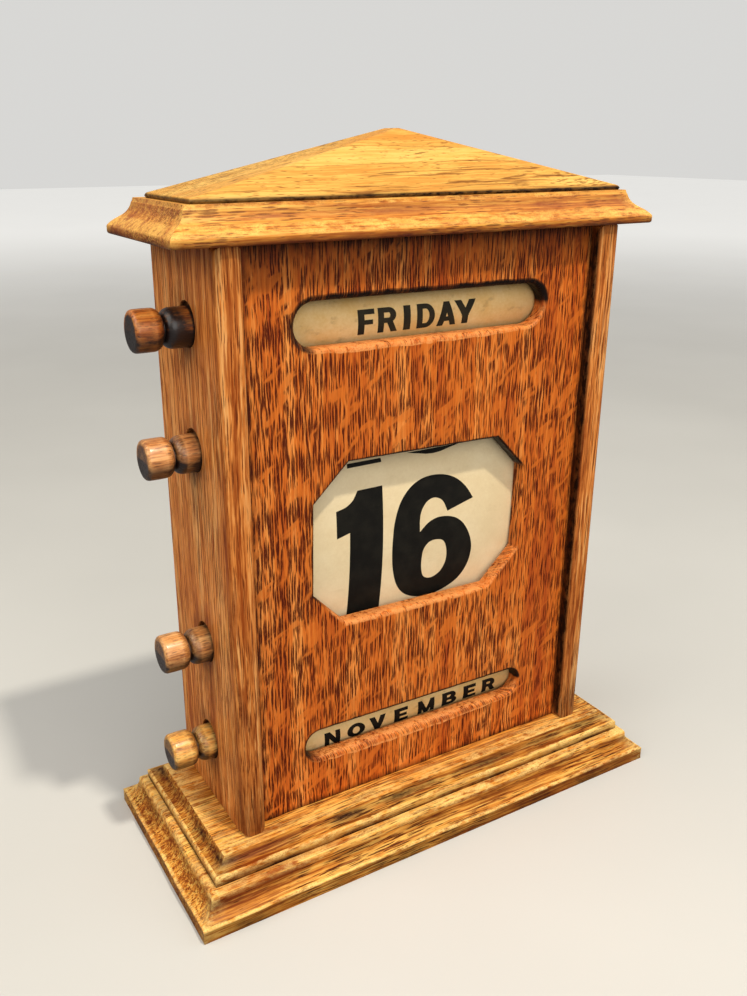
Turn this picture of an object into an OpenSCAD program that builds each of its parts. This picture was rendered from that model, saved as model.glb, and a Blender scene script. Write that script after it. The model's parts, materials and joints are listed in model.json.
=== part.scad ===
// Perpetual desk calendar: an oak case on a two-board moulded plinth. Three windows in its front
// show the day, the date and the month, each printed on a roller that a knob on the left side turns.
// The origin is at the middle of the underside, +X is to the right and the front faces -Y.

/* [Plinth] */
// Width of the lower plinth board
base_w = 230; // [222:1:240]
// Depth of the lower plinth board
base_d = 99; // [96:1:106]
// Thickness of the lower plinth board
lower_t = 15; // [14:0.5:17]
// Height of the lower board's square edge
lower_lip_h = 6; // [5:0.5:7]
// Thickness of the upper plinth board
upper_t = 8.2; // [8:0.1:9]
// How far the upper board is set in from the lower board's edge
upper_inset = 9.6; // [9:0.1:10.5]
// How far the moulding runs in from the lip of a plinth board
plinth_moulding = 6; // [5:0.5:6.5]

/* [Case] */
// Width over the two side boards
case_w = 176.6; // [172:0.2:180]
// Depth of the side boards, front to back
case_d = 62.4; // [61:0.2:66]
// Height of the side boards
case_h = 231.6; // [229:0.2:236]
// How far the case stands behind the middle of the plinth
case_back = 2; // [0:0.5:2.5]
// Thickness of the side boards
side_t = 10; // [9:0.5:11]
// Radius on the two front edges of a side board
nose_r = 2.8; // [2:0.2:4]
// How far the front panel lies behind the side boards' front edges
panel_set = 5.7; // [5.2:0.1:5.9]
// Thickness of the front panel
panel_t = 6; // [5.6:0.1:6.2]
// Thickness of the back panel
back_t = 5; // [4:0.5:6]
// Width of the rebate in a side board that holds the back panel
rebate_w = 6; // [5:0.5:6.5]
// Length of each leg of a glue block
block_leg = 9; // [7:0.5:9]
// Height of a glue block
block_h = 24; // [18:1:26]

/* [Top] */
// How far the cornice reaches past the case at either side
cornice_side = 15.2; // [12:0.2:18]
// How far the cornice reaches past the case at the front and the back
cornice_front = 2; // [1:0.2:5]
// Thickness of the cornice board
cornice_t = 12.8; // [12:0.2:14]
// How far the cornice's moulding runs in from its lip
cornice_moulding = 8; // [7:0.2:8.6]
// Width of the pediment
pediment_w = 185.8; // [170:0.2:188]
// Front edge of the pediment, measured back from the front of the cornice's lip
pediment_front = 9.2; // [9:0.2:12]
// Depth of the pediment
pediment_d = 43.8; // [38:0.2:46]
// Height of the pediment's upright edge
pediment_edge = 1.7; // [1:0.1:3]
// Height of the pediment at its ridge
pediment_h = 23.4; // [20:0.2:26]
// Where the ridge starts, measured back from the pediment's front edge
ridge_start = 23; // [18:0.5:26]
// Length of the ridge, front to back
ridge_l = 10; // [4:0.5:12]

/* [Windows] */
// How far the windows sit to the left of the middle
window_left = 1; // [0:0.5:2]
// How far out of level each window is cut, in degrees: day, date, month
window_tilt = [0.4, 1.1, 0.7]; // [0:0.1:1.5]
// Width of the day window
day_window_w = 112.8; // [105:0.2:118]
// Height of the day window
day_window_h = 16.8; // [15:0.2:20]
// Width of the date window
date_window_w = 101.2; // [95:0.2:106]
// Height of the date window
date_window_h = 68; // [60:0.5:72]
// How far the date window's corners are cut off
date_corner = 15.3; // [10:0.1:18]
// Width of the month window
month_window_w = 111; // [105:0.2:118]
// Height of the month window
month_window_h = 13; // [12:0.2:16]

/* [Rollers] */
// How far the day roller's axis lies below the top of the case
day_drop = 29.8; // [29:0.2:31]
// Height of the month roller's axis above the plinth
month_z = 27.4; // [27:0.2:28]
// How far the date window's middle lies above the midpoint of the day and month axes
date_rise = 0.2; // [0:0.1:1.2]
// Share of the distance between the day and month axes that parts the two date rollers
date_share = 0.46; // [0.45:0.005:0.48]
// Radius over the day band
day_r = 17.6; // [16:0.1:18]
// Radius over the date strip where it is wound on a roller
coil_r = 13.75; // [13:0.05:14]
// Radius over the month band
month_r = 20.4; // [19:0.1:20.6]
// Radius of the date rollers under the wound strip
date_core_r = 11.2; // [11:0.1:12]
// Thickness of the printed bands and of the date strip
paper_t = 0.2; // [0.15:0.05:0.3]
// Width of the bands and of the date strip
paper_w = 128; // [122:1:130]
// Length of a roller's body, between its hubs
roller_l = 134; // [132:1:136]
// Radius of the hubs on a roller's ends
hub_r = 10.8; // [9:0.1:10.9]
// Free gap between the rollers' paper and the front panel
paper_gap = 0.5; // [0.4:0.1:0.8]
// How far the date strip bows forward between its two rollers
strip_bow = 4.2; // [3:0.1:4.6]
// Free gap between the crown of that bow and the front panel
strip_set = 0.2; // [0.1:0.05:0.5]
// Free gap between the date strip and the wound strip behind it
strip_gap = 0.35; // [0.3:0.05:0.5]

/* [Knobs] */
// How far each knob stands out of the left side: day, upper date, lower date, month
knob_reach = [20.4, 19.6, 19, 17.8]; // [17:0.1:22]
// Radius of a knob's barrel, which turns in the side board
barrel_r = 7.3; // [7:0.1:8]
// Radius of a knob's cap
cap_r = 7.6; // [7:0.1:8.5]
// Radius of the waist between a knob's barrel and cap
waist_r = 4.3; // [3.5:0.1:5]
// Length of a knob's cap, from the waist to the flat end
cap_l = 10.8; // [10:0.1:11.5]
// Radius of the tenon that holds a knob in its roller
tenon_r = 5; // [4:0.1:5.5]
// Length of that tenon
tenon_l = 18; // [12:1:22]
// Radius of the steel pivot at a roller's right end
pivot_r = 2.5; // [2:0.1:3]
// Depth of the pivot's hole in the right side board
pivot_hole = 7; // [6:0.2:7.4]

/* [Fits] */
// Radial clearance of a knob's barrel or a pivot in its bearing
running_fit = 0.08; // [0.05:0.01:0.1]
// Radial clearance of glued dowels and tenons
glue_fit = 0.02; // [0.01:0.01:0.05]
// Free gap at each end of a roller
end_play = 0.4; // [0.3:0.05:0.6]
// How much wider the mouth of a knob's hole is than the barrel
mouth_wear = 1.1; // [1:0.1:1.4]
// How far the worn mouth sits above the bearing's axis
mouth_rise = 0.8; // [0:0.1:0.8]
// Depth of the worn mouth
mouth_depth = 2.2; // [1.5:0.1:3]

/* [Fastenings] */
// Radius of the screws that hold the case on the plinth
base_screw_r = 1.9; // [1.5:0.1:2.2]
// How far those screws reach into the side boards
base_screw_bite = 16; // [12:1:20]
// Radius of the back panel's screws
back_screw_r = 1.1; // [0.9:0.1:1.3]
// Length of the back panel's screws
back_screw_l = 14; // [12:1:16]
// Screws down each side of the back panel
back_screws_a_side = 4; // [2:1:5]
// Distance of the end ones from the back panel's ends
back_screw_end = 18; // [14:1:24]
// Radius of the dowels in the cornice
dowel_r = 3; // [2.5:0.1:3.5]
// How deep a dowel sits in each of its two boards
dowel_depth = 8; // [7:0.5:9]
// Distance of the front dowels and base screws from the side boards' front edges
dowel_front = 14.2; // [12:0.2:18]
// Distance of the rear ones from the side boards' back edges
dowel_rear = 12.2; // [11:0.2:14]
// Distance of each pediment dowel from the middle
pediment_dowel_x = 40; // [30:1:50]

/* [Hidden] */
$fn = 64;

oak = "peru";
dark_oak = "sienna";
light_oak = "goldenrod";
beech = "burlywood";
ivory_paper = "antiquewhite";
steel = "silver";
brass = "darkgoldenrod";

through = 1;                                  // how far a cutter runs past the face it opens
base_h = lower_t + upper_t;
case_front = case_back - case_d / 2;
case_rear = case_back + case_d / 2;
case_top = base_h + case_h;
inner_x = case_w / 2 - side_t;                // inner face of a side board
side_x = case_w / 2 - side_t / 2;             // middle of a side board's thickness
panel_front = case_front + panel_set;
panel_back = panel_front + panel_t;
cornice_w = case_w + 2 * cornice_side;
cornice_d = case_d + 2 * cornice_front;
cornice_top = case_top + cornice_t;
pediment_y = case_back - cornice_d / 2 + pediment_front;
window_x = -window_left;

// The rollers' axes as [y, z]: each roller's paper lies just behind the front panel
paper_face = panel_back + paper_gap;
strip_crown = panel_back + strip_set;
date_y = strip_crown + strip_bow + paper_t + strip_gap + coil_r;
day_axis = [paper_face + day_r, case_top - day_drop];
month_axis = [paper_face + month_r, base_h + month_z];
date_spacing = date_share * (day_axis.y - month_axis.y);
date_z = (day_axis.y + month_axis.y) / 2 + date_rise;
upper_axis = [date_y, date_z + date_spacing / 2];
lower_axis = [date_y, date_z - date_spacing / 2];
axes = [day_axis, upper_axis, lower_axis, month_axis];
strip_r = (pow(date_spacing / 2, 2) + pow(strip_bow, 2)) / (2 * strip_bow);

// Half-edges of the moulded boards as [inset from the lip, height], read from the bottom up.
// A quirk is the narrow step where one moulding meets the next.
quirk = 0.2;
lower_quirk = 0.5;
lower_round = 1.8;                            // height of the lower board's rounded top edge
lower_run = 2;                                // how far that edge runs in
lower_cove_drop = 3.6;                        // how far its cove ends below the top
lower_edge = concat(
    [[0, 0], [0, lower_lip_h]],
    hollow([lower_quirk, lower_lip_h], [plinth_moulding, lower_t - lower_cove_drop], 0.9),
    hollow([plinth_moulding + quirk, lower_t - lower_round],
        [plinth_moulding + lower_run, lower_t], -0.5));
upper_lip_drop = 5;                           // the upper board's lip ends this far below its top
upper_bead = [1.1, 1];                        // its rounded edge over the lip
upper_fillet = 0.5;                           // height of the thin edge over its cove
upper_bead_z = upper_t - upper_lip_drop + quirk;
upper_edge = concat(
    [[0, 0], [0, upper_t - upper_lip_drop]],
    hollow([0, upper_bead_z], [upper_bead.x, upper_bead_z + upper_bead.y], -0.3),
    hollow([upper_bead.x + 2 * quirk, upper_bead_z + upper_bead.y],
        [plinth_moulding, upper_t - upper_fillet], 0.7),
    [[plinth_moulding + quirk, upper_t]]);
lip_round = 0.8;                              // rounding under the cornice's lip
cornice_lip_h = 2.9;
cornice_step = [3.6, 6.8];                    // end of the slope over the lip: inset, and drop from the top
cornice_fillet = 1.4;                         // height of the thin edge over its cove
cornice_edge = concat(
    hollow([lip_round, 0], [0, lip_round], -0.2),
    hollow([0, cornice_lip_h], [cornice_step.x, cornice_t - cornice_step.y], -0.25),
    hollow([cornice_step.x + quirk, cornice_t - cornice_step.y + quirk],
        [cornice_moulding - quirk, cornice_t - cornice_fillet - quirk], 0.7),
    [[cornice_moulding, cornice_t - cornice_fillet], [cornice_moulding + 2 * quirk, cornice_t]]);

// Places of the base screws and cornice dowels, front and rear
dowel_y = [case_front + dowel_front, case_rear - dowel_rear];
head_ratio = 2;                               // a screw head's radius over its shank's
head_sink = 0.4;                              // how far a screw head lies below the surface
base_screw_l = base_h + base_screw_bite - head_sink;
back_screw_x = inner_x + rebate_w / 2;
back_screw_z = [for (i = [0 : back_screws_a_side - 1])
    base_h + back_screw_end + i * (case_h - 2 * back_screw_end) / (back_screws_a_side - 1)];
block_z = [(month_axis.y + lower_axis.y) / 2, date_z, (upper_axis.y + day_axis.y) / 2];
pivot_in = 20;                                // how far a pivot is driven into its roller
hub_x = inner_x - end_play;                   // end face of a roller's hub
screw_fit = 0.02;
knob_waist = 0.4;                             // length of a knob's waist
knob_dome = 3.6;                              // length of the dome on its barrel
knob_flare = 3.1;                             // length over which its cap widens
knob_round = 1.6;                             // rounding at its flat end

// Points from a to b that bow into the wood by depth, or out of it where depth is negative
function hollow(a, b, depth, steps = 8) =
    let (d = b - a, n = [d.y, -d.x] / norm(d))
    [for (i = [0 : steps]) let (t = i / steps) a + d * t + n * 4 * depth * t * (1 - t)];

// Points on a quarter of an ellipse about c, from angle a to angle b
function quarter(c, rx, ry, a, b, steps = 8) =
    [for (i = [0 : steps]) let (t = a + (b - a) * i / steps) c + [rx * cos(t), ry * sin(t)]];

// A board's cross-section: the half-edge on both sides of a flat middle
module board_section(span, edge) {
    last = len(edge) - 1;
    polygon(concat(
        [for (p = edge) [span / 2 - p.x, p.y]],
        [for (i = [last : -1 : 0]) [edge[i].x - span / 2, edge[i].y]]));
}

// A board with the same moulding on all four edges, mitred at the corners
module moulded_board(w, d, edge) {
    intersection() {
        rotate([90, 0, 0]) linear_extrude(d + 2 * through, center = true) board_section(w, edge);
        rotate([90, 0, 90]) linear_extrude(w + 2 * through, center = true) board_section(d, edge);
    }
}

// A cylinder along +X from x0 to x1 about the axis [y, z]
module bar(axis, x0, x1, r) {
    translate([x0, axis.x, axis.y]) rotate([0, 90, 0]) cylinder(h = x1 - x0, r = r);
}

module tube(axis, half, r_out, r_in) {
    difference() {
        bar(axis, -half, half, r_out);
        bar(axis, -half - through, half + through, r_in);
    }
}

// A slotted countersunk wood screw with its head at z = 0, pointing up
module wood_screw(r, length) {
    head_r = head_ratio * r;
    head_h = head_r - r;
    tip = 2 * r;
    difference() {
        union() {
            cylinder(h = head_h, r1 = head_r, r2 = r);
            cylinder(h = length - tip, r = r);
            translate([0, 0, length - tip]) cylinder(h = tip, r1 = r, r2 = 0.2);
        }
        translate([-head_r, -0.15 * head_r, -through])
            cube([2 * head_r, 0.3 * head_r, through + 0.5 * head_h]);
    }
}

// The hole that a wood screw leaves: a countersink below, then a shank hole
module screw_hole(r, length) {
    head_r = head_ratio * r;
    translate([0, 0, -head_sink - through]) cylinder(h = through + head_sink, r = head_r);
    cylinder(h = head_r - r, r1 = head_r, r2 = r);
    cylinder(h = length, r = r + screw_fit);
}

module at_base_screws() {
    for (x = [-side_x, side_x], y = dowel_y) translate([x, y, head_sink]) children();
}

module at_back_screws() {
    for (x = [-back_screw_x, back_screw_x], z = back_screw_z)
        translate([x, case_rear - head_sink, z]) rotate([90, 0, 0]) children();
}

module cornice_dowel_set(r, depth) {
    for (x = [-side_x, side_x], y = dowel_y)
        translate([x, y, case_top - depth]) cylinder(h = 2 * depth, r = r);
}

module pediment_dowel_set(r, depth) {
    for (x = [-pediment_dowel_x, pediment_dowel_x])
        translate([x, pediment_y + ridge_start, cornice_top - depth])
            cylinder(h = 2 * depth, r = r);
}

module lower_plinth() {
    color(light_oak) difference() {
        moulded_board(base_w, base_d, lower_edge);
        at_base_screws() screw_hole(base_screw_r, base_h + through);
    }
}

module upper_plinth() {
    color(light_oak) difference() {
        translate([0, 0, lower_t])
            moulded_board(base_w - 2 * upper_inset, base_d - 2 * upper_inset, upper_edge);
        at_base_screws() screw_hole(base_screw_r, base_h + through);
    }
}

// A side board seen from above, with its rounded front edges and the rebate for the back panel
module side_plan() {
    difference() {
        union() {
            translate([inner_x, case_front + nose_r]) square([side_t, case_d - nose_r]);
            translate([inner_x + nose_r, case_front]) square([side_t - 2 * nose_r, nose_r]);
            for (x = [inner_x + nose_r, case_w / 2 - nose_r])
                translate([x, case_front + nose_r]) circle(nose_r);
        }
        translate([inner_x - through, case_rear - back_t])
            square([rebate_w + through, back_t + through]);
    }
}

// A side board without its bearings, at the right
module plain_side() {
    difference() {
        translate([0, 0, base_h]) linear_extrude(case_h) side_plan();
        at_base_screws() cylinder(h = base_screw_l, r = base_screw_r + screw_fit);
        at_back_screws() cylinder(h = back_screw_l, r = back_screw_r + screw_fit);
        cornice_dowel_set(dowel_r + glue_fit, dowel_depth);
    }
}

module left_side() {
    color(oak) difference() {
        mirror([1, 0, 0]) plain_side();
        for (a = axes) {
            bar(a, -case_w / 2 - through, -inner_x + through, barrel_r + running_fit);
            bar([a.x, a.y + mouth_rise], -case_w / 2 - through, -case_w / 2 + mouth_depth,
                barrel_r + mouth_wear);
        }
    }
}

module right_side() {
    color(oak) difference() {
        plain_side();
        for (a = axes) bar(a, inner_x - through, inner_x + pivot_hole, pivot_r + running_fit);
    }
}

// A cut right through the front panel at the height z, its outline turned by tilt
module window_cut(z, tilt) {
    translate([window_x, panel_front - through, z]) rotate([-90, tilt, 0])
        linear_extrude(panel_t + 2 * through) children();
}

module slot_outline(w, h) {
    square([w - h, h], center = true);
    for (x = [h / 2 - w / 2, w / 2 - h / 2]) translate([x, 0]) circle(h / 2);
}

module cut_corner_outline(w, h, c) {
    x = w / 2;
    y = h / 2;
    polygon([[c - x, -y], [x - c, -y], [x, c - y], [x, y - c],
        [x - c, y], [c - x, y], [-x, y - c], [-x, c - y]]);
}

module front_panel() {
    color(dark_oak) difference() {
        translate([-inner_x, panel_front, base_h]) cube([2 * inner_x, panel_t, case_h]);
        window_cut(day_axis.y, window_tilt[0]) slot_outline(day_window_w, day_window_h);
        window_cut(date_z, window_tilt[1])
            cut_corner_outline(date_window_w, date_window_h, date_corner);
        window_cut(month_axis.y, window_tilt[2]) slot_outline(month_window_w, month_window_h);
    }
}

module back_panel() {
    x = inner_x + rebate_w;
    color(oak) difference() {
        translate([-x, case_rear - back_t, base_h]) cube([2 * x, back_t, case_h]);
        at_back_screws() screw_hole(back_screw_r, back_t + through);
    }
}

module cornice() {
    color(light_oak) difference() {
        translate([0, case_back, case_top]) moulded_board(cornice_w, cornice_d, cornice_edge);
        cornice_dowel_set(dowel_r + glue_fit, dowel_depth);
        pediment_dowel_set(dowel_r + glue_fit, dowel_depth);
    }
}

// The hipped pediment is what a gable seen from the front and one seen from the side share
module pediment() {
    e = pediment_edge;
    x = pediment_w / 2;
    color(light_oak) difference() {
        translate([0, pediment_y, cornice_top]) intersection() {
            translate([0, pediment_d + through, 0]) rotate([90, 0, 0])
                linear_extrude(pediment_d + 2 * through)
                    polygon([[-x, 0], [x, 0], [x, e], [0, pediment_h], [-x, e]]);
            translate([-x - through, 0, 0]) rotate([90, 0, 90])
                linear_extrude(pediment_w + 2 * through)
                    polygon([[0, 0], [pediment_d, 0], [pediment_d, e],
                        [ridge_start + ridge_l, pediment_h], [ridge_start, pediment_h], [0, e]]);
        }
        pediment_dowel_set(dowel_r + glue_fit, dowel_depth);
    }
}

// Three-cornered blocks glued into the corners behind the front panel
module glue_blocks() {
    color(beech) for (side = [0, 1], z = block_z)
        mirror([side, 0, 0]) translate([0, 0, z - block_h / 2]) linear_extrude(block_h)
            polygon([[inner_x, panel_back], [inner_x, panel_back + block_leg],
                [inner_x - block_leg, panel_back]]);
}

module base_screws() {
    color(steel) at_base_screws() wood_screw(base_screw_r, base_screw_l);
}

module back_screws() {
    color(brass) at_back_screws() wood_screw(back_screw_r, back_screw_l);
}

module cornice_dowels() {
    color(beech) cornice_dowel_set(dowel_r, dowel_depth);
}

module pediment_dowels() {
    color(beech) pediment_dowel_set(dowel_r, dowel_depth);
}

// Half the outline of a knob as [radius, distance out from the left side's face]
function knob_outline(reach) =
    let (shoulder = -side_t - end_play, waist = reach - cap_l)
    concat(
        [[0, shoulder - tenon_l], [tenon_r, shoulder - tenon_l], [tenon_r, shoulder],
            [barrel_r, shoulder]],
        quarter([waist_r, waist - knob_waist - knob_dome], barrel_r - waist_r, knob_dome, 0, 90),
        quarter([waist_r, waist + knob_flare], cap_r - waist_r, knob_flare, -90, 0),
        quarter([cap_r - knob_round, reach - knob_round], knob_round, knob_round, 0, 90),
        [[0, reach]]);

module knob(axis, reach) {
    color(dark_oak) translate([-case_w / 2, axis.x, axis.y]) rotate([0, -90, 0])
        rotate_extrude() polygon(knob_outline(reach));
}

// A roller with a socket for its knob at the left and one for its steel pivot at the right
module roller(axis, r) {
    color(beech) difference() {
        union() {
            bar(axis, -roller_l / 2, roller_l / 2, r);
            bar(axis, -hub_x, hub_x, hub_r);
        }
        bar(axis, -hub_x - through, tenon_l - hub_x, tenon_r + glue_fit);
        bar(axis, hub_x - pivot_in, hub_x + through, pivot_r + glue_fit);
    }
}

module pivot(axis) {
    color(steel) bar(axis, hub_x - pivot_in, inner_x + pivot_hole - end_play, pivot_r);
}

module paper_tube(axis, r_out, r_in) {
    color(ivory_paper) tube(axis, paper_w / 2, r_out, r_in);
}

module day_knob() { knob(day_axis, knob_reach[0]); }
module upper_date_knob() { knob(upper_axis, knob_reach[1]); }
module lower_date_knob() { knob(lower_axis, knob_reach[2]); }
module month_knob() { knob(month_axis, knob_reach[3]); }

module day_roller() { roller(day_axis, day_r - paper_t); }
module upper_date_roller() { roller(upper_axis, date_core_r); }
module lower_date_roller() { roller(lower_axis, date_core_r); }
module month_roller() { roller(month_axis, month_r - paper_t); }

module day_pivot() { pivot(day_axis); }
module upper_date_pivot() { pivot(upper_axis); }
module lower_date_pivot() { pivot(lower_axis); }
module month_pivot() { pivot(month_axis); }

module day_band() { paper_tube(day_axis, day_r, day_r - paper_t); }
module month_band() { paper_tube(month_axis, month_r, month_r - paper_t); }
module upper_date_coil() { paper_tube(upper_axis, coil_r, date_core_r); }
module lower_date_coil() { paper_tube(lower_axis, coil_r, date_core_r); }

// The free run of the date strip, which bows forward between the two rollers
module date_strip() {
    about = [strip_crown + strip_r, date_z];
    color(ivory_paper) intersection() {
        translate([-paper_w / 2, strip_crown - through, lower_axis.y])
            cube([paper_w, strip_bow + paper_t + 2 * through, date_spacing]);
        difference() {
            bar(about, -paper_w / 2 - through, paper_w / 2 + through, strip_r, $fn = 720);
            bar(about, -paper_w / 2 - 2 * through, paper_w / 2 + 2 * through, strip_r - paper_t,
                $fn = 720);
        }
    }
}

lower_plinth();
upper_plinth();
left_side();
right_side();
front_panel();
back_panel();
cornice();
pediment();
glue_blocks();
base_screws();
back_screws();
cornice_dowels();
pediment_dowels();
day_knob();
day_roller();
day_band();
day_pivot();
upper_date_knob();
upper_date_roller();
upper_date_coil();
upper_date_pivot();
lower_date_knob();
lower_date_roller();
lower_date_coil();
lower_date_pivot();
date_strip();
month_knob();
month_roller();
month_band();
month_pivot();
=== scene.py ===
# %% [markdown]
# # A perpetual desk calendar in oak
# The CAD model gives every piece its true size and place. This notebook gives the same pieces their
# looks: worn mouldings, open-grained oak, printed paper and turned knobs. Lengths are written in
# millimetres and turned into metres only when a mesh is made.

# %% Load the frame
import json
import math
import bmesh
import bpy
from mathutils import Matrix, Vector, geometry, noise


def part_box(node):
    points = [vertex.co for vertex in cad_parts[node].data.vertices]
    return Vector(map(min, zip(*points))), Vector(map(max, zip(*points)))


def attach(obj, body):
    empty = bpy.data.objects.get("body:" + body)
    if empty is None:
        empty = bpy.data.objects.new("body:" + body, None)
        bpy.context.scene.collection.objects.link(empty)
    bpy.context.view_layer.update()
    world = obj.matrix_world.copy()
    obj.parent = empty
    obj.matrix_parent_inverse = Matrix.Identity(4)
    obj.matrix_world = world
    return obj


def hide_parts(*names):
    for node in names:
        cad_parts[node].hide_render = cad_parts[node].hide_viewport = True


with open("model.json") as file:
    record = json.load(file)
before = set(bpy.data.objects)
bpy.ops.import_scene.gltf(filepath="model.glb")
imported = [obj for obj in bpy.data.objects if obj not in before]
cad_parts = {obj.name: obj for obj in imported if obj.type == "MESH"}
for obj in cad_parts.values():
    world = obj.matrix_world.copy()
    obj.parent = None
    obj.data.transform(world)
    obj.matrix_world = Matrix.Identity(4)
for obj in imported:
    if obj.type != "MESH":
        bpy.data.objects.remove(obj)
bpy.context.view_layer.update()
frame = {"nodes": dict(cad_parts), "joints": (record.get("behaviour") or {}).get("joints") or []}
MM = 0.001


def box_mm(node):
    """The lowest and the highest corner of a CAD node, in millimetres"""
    low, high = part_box(node)
    return Vector(low) / MM, Vector(high) / MM


print("nodes:", len(frame["nodes"]))

# %% [markdown]
# ## Camera
# The photograph looks down a little on the front left corner, from about 40 cm away. A lens of 34 mm
# on a 36 mm sensor gives the same strong perspective. The small shift moves the picture, not the
# camera, so upright edges stay as they are in the photograph.

# %% Camera
EYE = Vector((-205.99, -318.73, 287.01)) * MM
LOOK = Vector((-18.275, 0.0, 148.665)) * MM
camera_data = bpy.data.cameras.new("camera")
camera_data.lens = 34.33
camera_data.shift_x = 0.0157
camera_data.shift_y = -0.0038
camera_data.clip_start = 0.02
camera = bpy.data.objects.new("camera", camera_data)
camera.location = EYE
camera.rotation_euler = (LOOK - EYE).to_track_quat("-Z", "Y").to_euler()
bpy.context.scene.collection.objects.link(camera)
bpy.context.scene.camera = camera
print("camera at", [round(c, 3) for c in EYE])

# %% [markdown]
# ## Node recipes
# Wood and paper are described with small networks of nodes: noise for soft variation, cells for the
# open pores of oak, ramps that turn a value into a colour. This helper keeps each step on one line.
# Every pattern is laid out in the piece's own millimetres, so it stays in the piece when it turns.

# %% Colours
def rgb(red, green, blue):
    """A colour picked on a 0 to 255 screen scale, as the linear values that the renderer uses"""
    channels = [c / 255 for c in (red, green, blue)]
    return tuple(c / 12.92 if c < 0.04045 else ((c + 0.055) / 1.055) ** 2.4 for c in channels)


# %% Recipe helper
class Recipe:
    """A material, or the light around the scene, that is built step by step"""

    def __init__(self, name, shelf="materials", shader="Principled BSDF"):
        self.material = getattr(bpy.data, shelf).new(name)
        self.material.use_nodes = True
        self.tree = self.material.node_tree
        self.shader = self.tree.nodes[shader]

    def node(self, kind, **settings):
        made = self.tree.nodes.new("ShaderNode" + kind)
        for key, value in settings.items():
            setattr(made, key, value)
        return made

    def plug(self, socket, value):
        if isinstance(value, bpy.types.NodeSocket):
            self.tree.links.new(value, socket)
        elif isinstance(value, tuple) and len(value) == 3 and socket.type == "RGBA":
            socket.default_value = (*value, 1)
        else:
            socket.default_value = value

    def space(self, turn=(0, 0, 0), shift=(0, 0, 0)):
        """The piece's own coordinates in millimetres, turned and moved"""
        return self.turned(self.node("TexCoord").outputs["Object"], turn, shift, 1 / MM)

    def turned(self, vector, turn, shift=(0, 0, 0), scale=1.0):
        made = self.node("Mapping")
        self.plug(made.inputs["Vector"], vector)
        made.inputs["Scale"].default_value = (scale,) * 3
        made.inputs["Rotation"].default_value = [math.radians(a) for a in turn]
        made.inputs["Location"].default_value = shift
        return made.outputs["Vector"]

    def vector(self, operation, *values):
        made = self.node("VectorMath", operation=operation)
        for socket, value in zip(made.inputs, values):
            self.plug(socket, value)
        return made.outputs["Vector"]

    def stretch(self, vector, scale):
        return self.vector("MULTIPLY", vector, scale)

    def shifted(self, vector, amount, by):
        """A vector pushed by an amount from 0 to 1, where 0.5 leaves it in place, times by"""
        return self.vector("MULTIPLY_ADD", self.vector("SUBTRACT", amount, (0.5, 0.5, 0.5)), by, vector)

    def noise(self, vector, stretch, detail=2.0, colour=False, roughness=0.5):
        """Soft chance from 0 to 1, on a vector stretched along its axes"""
        made = self.node("TexNoise")
        self.plug(made.inputs["Vector"], self.stretch(vector, stretch))
        self.plug(made.inputs["Scale"], 1.0)
        self.plug(made.inputs["Detail"], detail)
        self.plug(made.inputs["Roughness"], roughness)
        return made.outputs["Color" if colour else "Fac"]

    def cells(self, vector, flat=False, chance=1.0):
        """Distance to the nearest of many scattered points, in space or on a flat face"""
        made = self.node("TexVoronoi", voronoi_dimensions="2D" if flat else "3D")
        self.plug(made.inputs["Vector"], vector)
        self.plug(made.inputs["Scale"], 1.0)
        self.plug(made.inputs["Randomness"], chance)
        return made.outputs["Distance"]

    def axis(self, vector, index):
        made = self.node("SeparateXYZ")
        self.plug(made.inputs[0], vector)
        return made.outputs[index]

    def laid_flat(self, vector):
        """The x and z of a vector as a flat pair, for patterns on an upright face"""
        made = self.node("CombineXYZ")
        # a share of y keeps the pattern whole on the walls that run front to back
        across = self.plus(self.axis(vector, 0), self.times(self.axis(vector, 1), 0.6))
        self.plug(made.inputs[0], across)
        self.plug(made.inputs[1], self.axis(vector, 2))
        return made.outputs[0]

    def math(self, operation, a, b=0.5, clamp=False):
        made = self.node("Math", operation=operation, use_clamp=clamp)
        self.plug(made.inputs[0], a)
        self.plug(made.inputs[1], b)
        return made.outputs[0]

    def times(self, a, b, clamp=False):
        return self.math("MULTIPLY", a, b, clamp)

    def plus(self, a, b):
        return self.math("ADD", a, b)

    def minus(self, a, b):
        return self.math("SUBTRACT", a, b)

    def fit(self, value, low, high, to_low=0.0, to_high=1.0):
        """A value stretched from one range to another, with a soft start and end"""
        made = self.node("MapRange", interpolation_type="SMOOTHSTEP")
        for index, given in enumerate((value, low, high, to_low, to_high)):
            self.plug(made.inputs[index], given)
        return made.outputs[0]

    def ramp(self, value, *stops):
        """A value turned into a colour by stops of place and screen colour"""
        made = self.node("ValToRGB")
        self.plug(made.inputs["Fac"], value)
        elements = made.color_ramp.elements
        while len(elements) < len(stops):
            elements.new(0.5)
        for element, (place, colour) in zip(elements, stops):
            element.position = place
            element.color = (*rgb(*colour), 1)
        return made.outputs["Color"]

    def mix(self, factor, a, b):
        """One colour laid over another: each is a socket or a screen colour"""
        made = self.node("Mix", data_type="RGBA")
        self.plug(made.inputs[0], factor)
        self.plug(made.inputs[6], rgb(*a) if isinstance(a, tuple) else a)
        self.plug(made.inputs[7], rgb(*b) if isinstance(b, tuple) else b)
        return made.outputs[2]

    def attribute(self, name):
        return self.node("Attribute", attribute_name=name).outputs["Fac"]

    def bump(self, height, depth, strength):
        made = self.node("Bump")
        made.inputs["Strength"].default_value = strength
        made.inputs["Distance"].default_value = depth * MM
        self.plug(made.inputs["Height"], height)
        self.plug(self.shader.inputs["Normal"], made.outputs["Normal"])

    def surface(self, colour, roughness, **constants):
        self.plug(self.shader.inputs["Base Color"], colour)
        self.plug(self.shader.inputs["Roughness"], roughness)
        for key, value in constants.items():
            self.shader.inputs[key.replace("_", " ")].default_value = value
        return self.material


print("recipe helper ready")
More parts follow.
